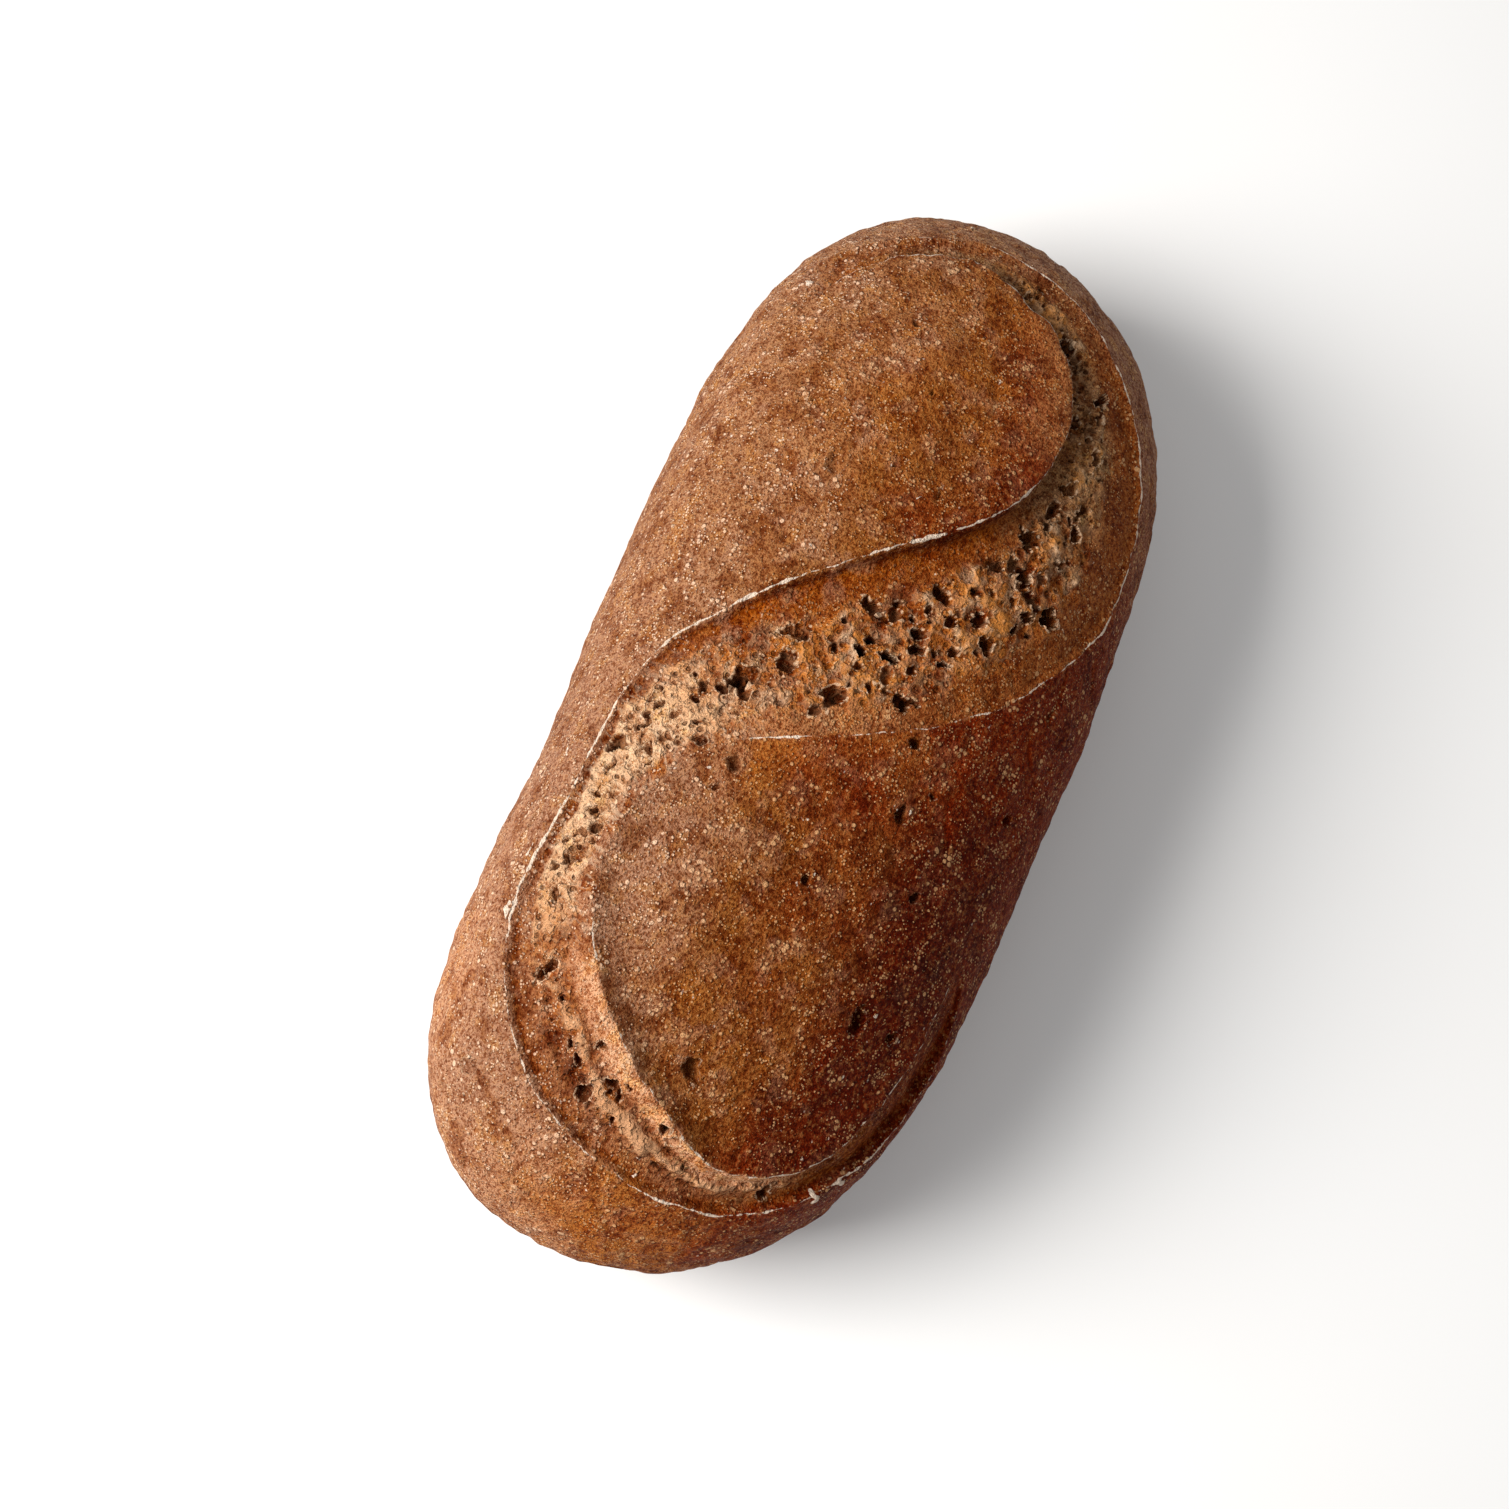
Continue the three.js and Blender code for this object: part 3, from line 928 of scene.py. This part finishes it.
# Colours of the crust.
# Pale crust of the +Y flank: partly its own colour, partly painted light where the key light falls.
PALE_CRUST_AND_PAINTED_LIGHT = colour("b08266")
PALE_CRUST_AND_PAINTED_LIGHT_AT_PLUS_X = colour("b07d58")
# Deep red-brown crust of the -Y flank: partly its bake, partly painted shade where the skin turns from the
# key light.
DEEP_CRUST_AND_PAINTED_SHADE = colour("7e2602")
# Paler crust round the +X end: partly flour dust, partly painted light.
DUST_AND_PAINTED_LIGHT_CRUST = colour("b98d6e")
# Painted light on dome A's -Y edge beside the raised lip.
DOME_EDGE_PAINTED_LIGHT = colour("b47648")
LOW_CRUST = colour("8e5b38")
FLOURY_BASE = colour("c4a284")

# Colours of the torn band and the open crumb.
TORN_SKIN = colour("9a5424")
# The wall below the raised lip: partly its orange, partly painted shade.
ORANGE_WALL_AND_PAINTED_SHADE_UNDER_LIP = colour("a0520f")
# Painted shade in the undercut below the raised lip.
TORN_IN_SHADE = colour("742c03")
TORN_HOOK = colour("a67c60")
# The fold's ridge in the outer hook: partly pale crumb, partly painted light.
PALE_FOLD_AND_PAINTED_LIGHT = colour("f2bc94")
SMOOTH_EDGE = colour("bc8054")
TORN_EDGE_AT_PLUS_X = colour("93603f")
TORN_AT_PLUS_X = colour("9a7754")
GOLD_CRUMB = colour("be7230")
GREY_CRUMB = colour("a9866c")
TOASTED_CRUMB = colour("9c4a18")
CRUMB_AT_PLUS_X = colour("a08462")
CREAM_CRUMB = colour("f0c8a0")
CREAM_THREADS = colour("e6c6a4")
# Colours of the crumb's raised tops: partly toasted crumb, partly painted highlight.
TOASTED_TOPS_AND_HIGHLIGHT = colour("d88e46")
PALE_TOPS_AND_HIGHLIGHT = colour("e8bf98")
FOLD_TOPS_AND_HIGHLIGHT = colour("deaa7e")
# Pale walls between the pores: partly thin membrane, partly painted highlight.
CRUMB_WALLS_AND_HIGHLIGHT = colour("e0ae80")
# Pale rims of the holes: partly membrane and floury chips, partly painted highlight.
HOLE_RIMS_AND_HIGHLIGHT = colour("e6c09c")
# Painted shade deep in the holes.
HOLE_DEPTH_SHADE = colour("3a1b0d")

# Colours of the grain, and the tints that darken or gild what they cover.
# Pale bran patches: partly bran, partly painted sheen on the +Y side.
BRAN_PATCHES_AND_SHEEN = colour("b98c70")
GOLD_GRAIN = colour("bd8148")
# Bran specks on the +Y and -Y flanks: partly their bake, partly painted light and painted shade.
PALE_BRAN_AND_PAINTED_LIGHT = colour("eec6a6")
DEEP_BRAN_AND_PAINTED_SHADE = colour("d09c6c")
# Tints of the darker and lighter patches: partly the crust's bake, partly painted shade and painted light.
DARK_BAKE_AND_PAINTED_SHADE_TINT = (0.62, 0.42, 0.3)
PALE_BAKE_AND_PAINTED_LIGHT_TINT = (1.45, 1.45, 1.35)
BLOTCH_TINT = (0.55, 0.34, 0.18)
GOLD_TINT = (1.2, 1.1, 0.6)
DARK_TINT = (0.45, 0.24, 0.1)
# Painted shade in the crumb's furrows.
FURROW_SHADE_TINT = (0.46, 0.27, 0.15)
# Painted shade in the pores of the crumb's foam.
FOAM_PORE_SHADE_TINT = (0.32, 0.2, 0.12)
# Painted shade in the holes and pits, by depth.
HOLLOW_SHADE_TINT = (0.5, 0.4, 0.33)

# The full height of the bump, in millimetres.
BUMP_HEIGHT = 1.5

# Stretches of the cut: the stations where each starts, is full, begins to fade and ends.
INNER_HOOK = (1, 3, 9, 11)
OUTER_HOOK = (15, 17, 25.5, 28)
SMOOTH_STRETCH = (13.5, 15.5, 17, 18)
CREAM_STRETCH = (15.4, 17.8, 19, 21.5)
BLENDED_STRETCH = (16.4, 17.4, 19.6, 20.8)
BETWEEN_TAILS = (0.5, 2, 27, 30)


class LoafFinish(Finish):
    """The loaf's one material, with the fields, noises and masks that its layers share."""

    def __init__(self):
        super().__init__("crust_and_crumb")
        self.raised, self.flush, self.share = map(self.field, ("raised", "flush", "share"))
        self.station, self.inside, self.crumb = map(self.field, ("station", "inside", "crumb"))
        self.x, self.y, self.z = (
            self.node("ShaderNodeSeparateXYZ", {}, {0: self.place}, axis) for axis in "XYZ"
        )

        self.large = self.cloud(22, 2, 1)
        self.pale_patches = self.cloud(6, 3, 6)
        self.gold_patches = self.cloud(5, 3, 5)
        self.dark_patches = self.cloud(7, 3, 7)
        self.grey = self.cloud(5, 3, 6)
        self.grain = self.cloud(1.25, 4, 3, roughness=0.72)
        self.fine = self.cloud(0.55, 2, 4)
        self.speck = self.flecks(1.3, 5, 0.7) - (self.pale_patches - 0.5) * 1.4
        self.small_speck = self.flecks(0.7, 6, 0.5) - (self.gold_patches - 0.5) * 1.2

        # side runs from the +Y flank, which the key light falls on, to the -Y flank, which turns from it:
        # the colours it mixes hold painted light and painted shade.
        towards = self.x * 0.1 - self.fade(self.x, 0.05, 0.11) * 0.01
        self.side = self.fade(towards - self.y + (self.large - 0.5) * 0.07, -0.06, 0.055)
        # under_lip is 1 on the band near the raised lip: it also sets where painted shade goes there.
        self.under_lip = self.fade(self.raised, 11, 2)
        self.hook = self.stretch(OUTER_HOOK)
        self.fold = self.hook * self.fade(self.station, 19, 21.5)
        self.creamy = self.stretch(CREAM_STRETCH)

        # foam is 1 in the crumb's pores, which the bump sinks and the colour darkens with painted shade.
        foam = self.flecks(2.1, 10, 0.5) + (self.grain - 0.5) * 0.6
        self.foam = self.fade(foam, 0.46, 0.26) * self.crumb
        # walls is 1 between the pores, which are pale there, partly membrane and partly painted highlight,
        # and raised by the bump.
        walls = self.grains(2.1, 10) + (self.grain - 0.5) * 0.5
        self.walls = self.fade(walls, 0.5, 0.7) * self.crumb

    def stretch(self, stations):
        """1 along a stretch of the cut, fading to 0 at both its ends."""
        start, full, fading, end = stations
        return self.fade(self.station, start, full) * self.fade(self.station, end, fading)


def crust_layer(f, main_colour):
    """The skin: pale on the +Y flank and deep red-brown on the -Y flank, partly its bake and partly painted
    light on the +Y flank and painted shade on the -Y flank. Darker and lighter in patches, partly its bake
    and partly painted shade and painted light; paler round the +X end, partly flour dust and partly painted
    light; lighter on the dome's -Y edge by the raised lip with painted light; browner low down and floury
    on the base."""
    crust = f.mix(f.fade(f.x, -0.04, 0.04), PALE_CRUST_AND_PAINTED_LIGHT, PALE_CRUST_AND_PAINTED_LIGHT_AT_PLUS_X)
    # Pale to deep across the loaf: partly the crust's bake, partly painted light on the +Y flank and painted
    # shade on the -Y flank.
    crust = f.mix(f.fade(f.side, 0, 0.42), crust, main_colour)
    crust = f.mix(f.fade(f.side, 0.42, 0.9), crust, DEEP_CRUST_AND_PAINTED_SHADE)
    # Patches painted darker and lighter: partly the crust's bake, partly painted shade on the -Y side and
    # painted light on the +Y flank and where the skin turns from the key light.
    baked = f.field("baked") + (f.large - 0.5) * 0.8
    crust = f.tinted(f.fade(baked, 0.1, 1), crust, DARK_BAKE_AND_PAINTED_SHADE_TINT)
    crust = f.tinted(f.fade(baked, -0.1, -0.9), crust, PALE_BAKE_AND_PAINTED_LIGHT_TINT)

    # Paler round the +X end, outside the flush lip: partly flour dust, partly painted light where that end
    # turns from the key light.
    dust_and_painted_light = f.fade(f.x - f.y * 0.35 + (f.large - 0.5) * 0.05, 0.045, 0.15)
    crust = f.mix(dust_and_painted_light * f.fade(f.flush, 2, -2) * 0.85, crust, DUST_AND_PAINTED_LIGHT_CRUST)
    # Painted light on dome A's -Y edge by the raised lip, towards the +X end, where the skin turns from the
    # key light.
    edge = f.fade(f.raised, -16, -3) * f.fade(f.raised, 1.5, 0) * f.fade(f.y, 0.002, -0.014)
    crust = f.mix(f.fade(f.x, 0.065, 0.085) * edge * 0.8, crust, DOME_EDGE_PAINTED_LIGHT)
    low = f.fade(f.z + (f.large - 0.5) * 0.03, 0.052, 0.006)
    crust = f.mix(low.power(1.5) * 0.7, crust, LOW_CRUST)
    return f.mix(f.fade(f.z, 0.004, 0.001) * f.fade(f.pale_patches, 0.35, 0.6), crust, FLOURY_BASE)


def torn_layer(f):
    """The band: orange-brown, a deeper orange below the raised lip, partly its own colour and partly painted
    shade, and darkest with painted shade in the undercut; with a pale fold in the outer hook, partly pale
    crumb and partly painted light on its ridge. The open crumb on it is gold, grey and toasted, and cream
    on the +Y side."""
    # Below the raised lip the band is painted with shade, darkest in the undercut, and less in the outer
    # hook.
    torn = f.mix(f.under_lip * (1 - f.hook * 0.6), TORN_SKIN, ORANGE_WALL_AND_PAINTED_SHADE_UNDER_LIP)
    torn = f.mix(f.fade(f.raised, 2.6, 1) * (1 - f.hook * 0.7), torn, TORN_IN_SHADE)
    beside_lip = f.hook * f.fade(f.raised, 1.2, 3) * f.fade(f.raised, 9, 6)
    torn = f.mix(beside_lip * 0.4, torn, TORN_HOOK)
    # The fold's ridge by the flush lip: partly pale crumb, partly painted light where the key light falls on
    # it.
    torn = f.mix(f.fold * f.fade(f.flush, 9, 3) * 0.9, torn, PALE_FOLD_AND_PAINTED_LIGHT)
    smooth = f.stretch(SMOOTH_STRETCH) * f.fade(f.flush, 12, 5)
    torn = f.mix(smooth * 0.75, torn, SMOOTH_EDGE)
    edge = f.fade(f.station, 8, 6) * f.fade(f.flush, 6, 1)
    torn = f.mix(edge * 0.7, torn, TORN_EDGE_AT_PLUS_X)
    inner_hook = f.stretch(INNER_HOOK) * f.fade(f.share, 0.8, 0.5)
    torn = f.mix(inner_hook * 0.8, torn, TORN_AT_PLUS_X)

    crumb = f.mix(f.fade(f.grey, 0.5, 0.62), GOLD_CRUMB, GREY_CRUMB)
    crumb = f.mix(f.fade(f.dark_patches, 0.5, 0.6) * 0.6, crumb, TOASTED_CRUMB)
    crumb = f.mix(inner_hook * 0.6, crumb, CRUMB_AT_PLUS_X)
    crumb = f.mix(f.creamy * f.fade(f.grey, 0.28, 0.45), crumb, CREAM_CRUMB)
    crumb = f.mix(f.fade(f.station, 19.5, 21.5) * 0.85, crumb, torn)
    return f.mix(f.crumb * 0.85, torn, crumb)


def where_torn(f):
    """1 inside the cut, less at its tails, and 0 where its flush edge melts into the skin."""
    melted = f.fade(f.flush + (f.gold_patches - 0.5) * 18, 5, -1)
    return f.inside * (f.stretch(BETWEEN_TAILS) * 0.8 + 0.2) * (1 - f.stretch(BLENDED_STRETCH) * melted)


def grain_layer(f, ground):
    """Blotches, dark flecks, streaks across the torn band and pale specks of bran."""
    ground = f.tinted(f.fade(f.dark_patches, 0.49, 0.63) * 0.8, ground, BLOTCH_TINT)
    ground = f.tinted(f.fade(f.gold_patches, 0.5, 0.66) * 0.55, ground, GOLD_TINT)
    # Pale bran patches, fewer towards the -Y flank: partly bran, partly painted sheen on the +Y side.
    ground = f.mix(f.fade(f.pale_patches, 0.5, 0.64) * (0.48 - f.side * 0.45), ground, BRAN_PATCHES_AND_SHEEN)
    ground = f.tinted(f.fade(f.grain, 0.46, 0.62) * 0.85, ground, DARK_TINT)
    ground = f.mix(f.fade(f.grain, 0.5, 0.34) * 0.4, ground, GOLD_GRAIN)
    ground = f.tinted(f.fade(f.fine, 0.5, 0.62) * 0.85, ground, DARK_TINT)

    wander = (f.cloud(4, 2, 12) - 0.5) * 0.004
    place = f.node("ShaderNodeCombineXYZ", {}, {0: f.station * 0.013 + wander, 1: f.raised * 0.00025})
    inputs = {"Vector": place, "Scale": 800, "Detail": 4}
    streaks = f.node("ShaderNodeTexNoise", {}, inputs, "Fac")
    ground = f.tinted(f.inside * f.under_lip * f.fade(streaks, 0.45, 0.65) * 0.45, ground, DARK_TINT)
    ground = f.mix(f.inside * f.creamy * f.fade(streaks, 0.5, 0.36) * 0.4, ground, CREAM_THREADS)

    # Bran specks pale on the +Y flank and deep on the -Y flank: partly their bake, partly painted light and
    # painted shade.
    bran = f.mix(f.fade(f.side, 0, 0.4), PALE_BRAN_AND_PAINTED_LIGHT, DEEP_BRAN_AND_PAINTED_SHADE)
    shown = f.inside * f.under_lip * (f.hook * 0.7 - 0.8) + 1
    ground = f.mix(f.fade(f.speck, 0.4, 0.22) * shown * 0.85, ground, bran)
    return f.mix(f.fade(f.small_speck, 0.42, 0.24) * shown * 0.85, ground, bran)


def hole_layer(f, surface):
    """The crumb's toasted tops, lighter with painted highlight; its dark furrows and fine foam, whose pores
    are darkened with painted shade; its pale walls and the holes' pale rims, partly membrane and partly
    painted highlight; and the holes, darkened by depth with painted shade.
    """
    relief, hollow, rim = map(f.field, ("relief", "hollow", "rim"))
    tops = f.mix(f.creamy.greater(f.fade(f.grey, 0.5, 0.66)), TOASTED_TOPS_AND_HIGHLIGHT, PALE_TOPS_AND_HIGHLIGHT)
    tops = f.mix(f.fold, tops, FOLD_TOPS_AND_HIGHLIGHT)
    # The raised crumb is painted lighter: partly its toasted colour, partly painted highlight.
    raised_crumb = f.crumb * f.fade(relief + (f.grain - 0.5) * 1.6, 0.15, 0.8)
    surface = f.mix(raised_crumb * 0.6, surface, tops)
    # Painted shade in the crumb's furrows, where its relief is low.
    surface = f.tinted(f.crumb * f.fade(relief, 0, -0.9) * 0.7, surface, FURROW_SHADE_TINT)
    foamy = f.fade(f.station, 22, 20) * 0.75 + 0.25
    # Pale walls between the pores: partly membrane, partly painted highlight.
    surface = f.mix(f.walls * foamy * 0.22, surface, CRUMB_WALLS_AND_HIGHLIGHT)
    # Painted shade in the pores of the foam.
    surface = f.tinted(f.foam * foamy * 0.7, surface, FOAM_PORE_SHADE_TINT)
    # Pale rims round the holes and pits: partly membrane and floury chips, partly painted highlight.
    surface = f.mix(f.fade(rim + (f.grain - 0.5) * 1.2, 0.3, 0.75) * 0.75, surface, HOLE_RIMS_AND_HIGHLIGHT)
    # The holes and pits are painted with shade, darker the deeper they are.
    surface = f.tinted(f.fade(hollow, 0.1, 1.6) * 0.8, surface, HOLLOW_SHADE_TINT)
    return f.mix(f.fade(hollow, 2, 4.6) * 0.85, surface, HOLE_DEPTH_SHADE)


def flour_layer(f, surface, flour_colour):
    """A thin broken line of flour on each lip, thicker in clumps, and floury chips of skin."""
    crumbled = f.cloud(1.6, 3, 7)
    thick = f.fade(f.cloud(9, 4, 8), 0.42, 0.6) * 0.5
    uneven = (crumbled - 0.5) * -1.2 - 0.1

    def line(distance, flour, width, softness):
        covered = f.fade(distance - flour * width - uneven, softness, -0.08)
        return covered * f.fade(flour, 0.02, 0.2)

    on_raised = line(abs(f.raised + 0.1), f.field("raised_flour"), thick * 0.7 + 0.12, 0.12)
    on_flush = line(abs(f.flush), f.field("flush_flour"), thick * 0.6 + 0.14, 0.1)
    chips = f.fade(f.field("chips") + (crumbled - 0.5) * 1.1, 0.22, 0.34)
    return f.mix(on_raised.greater(on_flush).greater(chips) * 0.95, surface, flour_colour)


def crust_and_crumb(settings):
    """The loaf's one finish: the crust and the torn band side by side, then grain, holes and
    flour over both. Its fine bump follows the grain, the specks of bran and the foam."""
    f = LoafFinish()
    ground = f.mix(where_torn(f), crust_layer(f, settings.crust), torn_layer(f))
    surface = flour_layer(f, hole_layer(f, grain_layer(f, ground)), settings.flour)
    bump = f.grain * -1 - f.fine * 0.45
    bump = bump + f.fade(f.speck, 0.6, 0.2) * 0.35 + f.fade(f.small_speck, 0.6, 0.2) * 0.25
    bump = bump - f.foam * 1.2 + f.walls * 0.4
    inputs = {"Strength": 1, "Distance": BUMP_HEIGHT * MM, "Height": bump}
    return f.finished({
        "Base Color": surface,
        "Roughness": 0.5 + f.grain * 0.3,
        "Normal": f.node("ShaderNodeBump", {}, inputs, "Normal"),
        "Specular IOR Level": 0.06,
        "Specular Tint": (1, 0.6, 0.35, 1),
    })


def floor_finish(settings):
    """A pale, even studio floor with the faintest mottling."""
    f = Finish("studio_floor")
    mottling = f.fade(f.cloud(FLOOR_MOTTLING, 3), 0.3, 0.7)
    tint = f.mix(mottling * 0.25, settings.floor, colour("f2f0ee"))
    return f.finished({"Base Color": tint, "Roughness": 0.85})


# --- The studio ---------------------------------------------------------------------------

# The camera looks down on the loaf, leaning a little towards -X and +Y, with the loaf's long
# axis turned from upright in the picture. AIM_OFFSET is how far right of the middle it lies.
LEAN_X = 12
LEAN_Y = 5
CAMERA_DISTANCE = 585
CAMERA_TARGET = (-6.4, 0, 37)
PICTURE_TURN = 24.2
AIM_OFFSET = 13.1
SENSOR = 36
FRAME_WIDTH = 370.5

# The large soft light: the direction it comes from, its distance and its side, in metres. Then
# the spacing of the floor's mottling, in millimetres.
KEY_DIRECTION = (-0.35, 0.8, 0.62)
KEY_DISTANCE = 1.3
KEY_SIZE = 0.75
KEY_TINT = (1, 0.98, 0.95)
FLOOR_MOTTLING = 120


def add_camera():
    """Places the camera: backwards is the leaning line of sight, and its right-hand side is the
    loaf's length and width directions turned by PICTURE_TURN."""
    camera = bpy.data.objects.new("camera", bpy.data.cameras.new("camera"))
    bpy.context.scene.collection.objects.link(camera)
    bpy.context.scene.camera = camera
    back = Vector((-math.tan(math.radians(LEAN_X)), math.tan(math.radians(LEAN_Y)), 1)).normalized()
    length = (Vector((1, 0, 0)) - back * back.x).normalized()
    width = back.cross(length)
    turn = math.radians(PICTURE_TURN)
    right = length * math.sin(turn) - width * math.cos(turn)
    target = Vector(CAMERA_TARGET) * MM
    eye = target + back * CAMERA_DISTANCE * MM
    sight = (eye - (target - right * AIM_OFFSET * MM)).normalized()
    right = (right - sight * right.dot(sight)).normalized()
    up = sight.cross(right)
    camera.matrix_world = Matrix.Translation(eye) @ Matrix((right, up, sight)).transposed().to_4x4()
    camera.data.sensor_width = SENSOR
    camera.data.lens = SENSOR * CAMERA_DISTANCE / FRAME_WIDTH
    camera.data.clip_start = 0.01


def add_key_light(power):
    """A square area light that faces the middle of the loaf."""
    light = bpy.data.lights.new("key_light", "AREA")
    light.size = KEY_SIZE
    light.energy = power
    light.color = KEY_TINT
    lamp = bpy.data.objects.new("key_light", light)
    bpy.context.scene.collection.objects.link(lamp)
    direction = Vector(KEY_DIRECTION).normalized()
    lamp.location = direction * KEY_DISTANCE + Vector((0, 0, HEIGHT / 2 * MM))
    lamp.rotation_euler = direction.to_track_quat("Z", "Y").to_euler()


def add_sky(strength):
    """An even pale sky that fills the shadows."""
    world = bpy.data.worlds.new("studio_sky")
    world.use_nodes = True
    background = world.node_tree.nodes["Background"]
    background.inputs["Color"].default_value = (1, 1, 1, 1)
    background.inputs["Strength"].default_value = strength
    bpy.context.scene.world = world


# --- The add-on ---------------------------------------------------------------------------


class LoafSettings(bpy.types.PropertyGroup):
    lip_height: bpy.props.FloatProperty(
        name="Lip height", description="The raised lip's height, as a share of the usual one",
        default=1.0, min=0.0, max=1.5, subtype="FACTOR",
    )
    crust: bpy.props.FloatVectorProperty(
        name="Crust", description="The crust's main colour", size=4, min=0, max=1,
        default=colour("945725"), subtype="COLOR",
    )
    flour: bpy.props.FloatVectorProperty(
        name="Flour", description="The colour of the flour on the lips", size=4, min=0, max=1,
        default=colour("e8d2bd"), subtype="COLOR",
    )


class StudioSettings(bpy.types.PropertyGroup):
    floor_size: bpy.props.FloatProperty(
        name="Floor size", description="The side of the square floor", default=8.0, min=1.0, unit="LENGTH",
    )
    floor: bpy.props.FloatVectorProperty(
        name="Floor", description="The floor's colour", size=4, min=0, max=1,
        default=(0.9, 0.9, 0.9, 1.0), subtype="COLOR",
    )
    key_power: bpy.props.FloatProperty(
        name="Key light", description="The power of the large soft light",
        default=29.0, min=0.0, unit="POWER",
    )
    sky: bpy.props.FloatProperty(
        name="Sky", description="The strength of the even fill", default=0.42, min=0.0, max=5.0,
    )


class LOAF_OT_loaf(bpy.types.Operator):
    """Bake the loaf: one closed surface with its cut, crumb and crust"""

    bl_idname = "loaf.loaf"
    bl_label = "Loaf"

    def execute(self, context):
        settings = context.scene.loaf
        grid = GRID
        points, fields, (rows, columns) = loaf_surface(grid, settings.lip_height)
        ends = body_points(np.array([-HALF, HALF]), np.zeros(2))
        points = fit_to_frame(np.vstack([points, ends])) * MM
        fields = {name: np.append(values, [OFF_CROWN.get(name, 0.0)] * 2) for name, values in fields.items()}
        mesh = make_mesh("sourdough_loaf", points, *closed_faces(rows, columns), fields)
        mesh = thinned(mesh, MOST_TRIANGLES)
        mesh.materials.clear()
        mesh.materials.append(crust_and_crumb(settings))
        piece = bpy.data.objects.new("sourdough_loaf", mesh)
        context.scene.collection.objects.link(piece)
        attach(piece, "root")
        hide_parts("loaf")
        return {"FINISHED"}


class LOAF_OT_studio(bpy.types.Operator):
    """Set up the pale floor and the soft studio light"""

    bl_idname = "loaf.studio"
    bl_label = "Studio"

    def execute(self, context):
        settings = context.scene.loaf_studio
        half = settings.floor_size / 2
        corners = [(-half, -half, 0), (half, -half, 0), (half, half, 0), (-half, half, 0)]
        mesh = bpy.data.meshes.new("floor")
        mesh.from_pydata(corners, [], [(0, 1, 2, 3)])
        mesh.materials.append(floor_finish(settings))
        floor = bpy.data.objects.new("floor", mesh)
        context.scene.collection.objects.link(floor)
        floor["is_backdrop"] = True
        add_key_light(settings.key_power)
        add_sky(settings.sky)
        context.scene.view_settings.view_transform = "Standard"
        return {"FINISHED"}


class LOAF_PT_panel(bpy.types.Panel):
    bl_label = "Sourdough loaf"
    bl_idname = "LOAF_PT_panel"
    bl_space_type = "VIEW_3D"
    bl_region_type = "UI"
    bl_category = "Loaf"

    def draw(self, context):
        scene = context.scene
        for settings, operator in ((scene.loaf, "loaf.loaf"), (scene.loaf_studio, "loaf.studio")):
            box = self.layout.box()
            for name in settings.bl_rna.properties.keys():
                if name not in ("rna_type", "name"):
                    box.prop(settings, name)
            box.operator(operator)


CLASSES = (LoafSettings, StudioSettings, LOAF_OT_loaf, LOAF_OT_studio, LOAF_PT_panel)


def register():
    for cls in CLASSES:
        bpy.utils.register_class(cls)
    bpy.types.Scene.loaf = bpy.props.PointerProperty(type=LoafSettings)
    bpy.types.Scene.loaf_studio = bpy.props.PointerProperty(type=StudioSettings)


def unregister():
    del bpy.types.Scene.loaf_studio
    del bpy.types.Scene.loaf
    for cls in reversed(CLASSES):
        bpy.utils.unregister_class(cls)


def main():
    add_camera()
    register()
    bpy.ops.loaf.loaf()
    bpy.ops.loaf.studio()
    boxes = {"cad": cad_box, "visual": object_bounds()}
    boxes = {name: [[float(part) for part in corner] for corner in box] for name, box in boxes.items()}


if __name__ == "__main__":
    main()
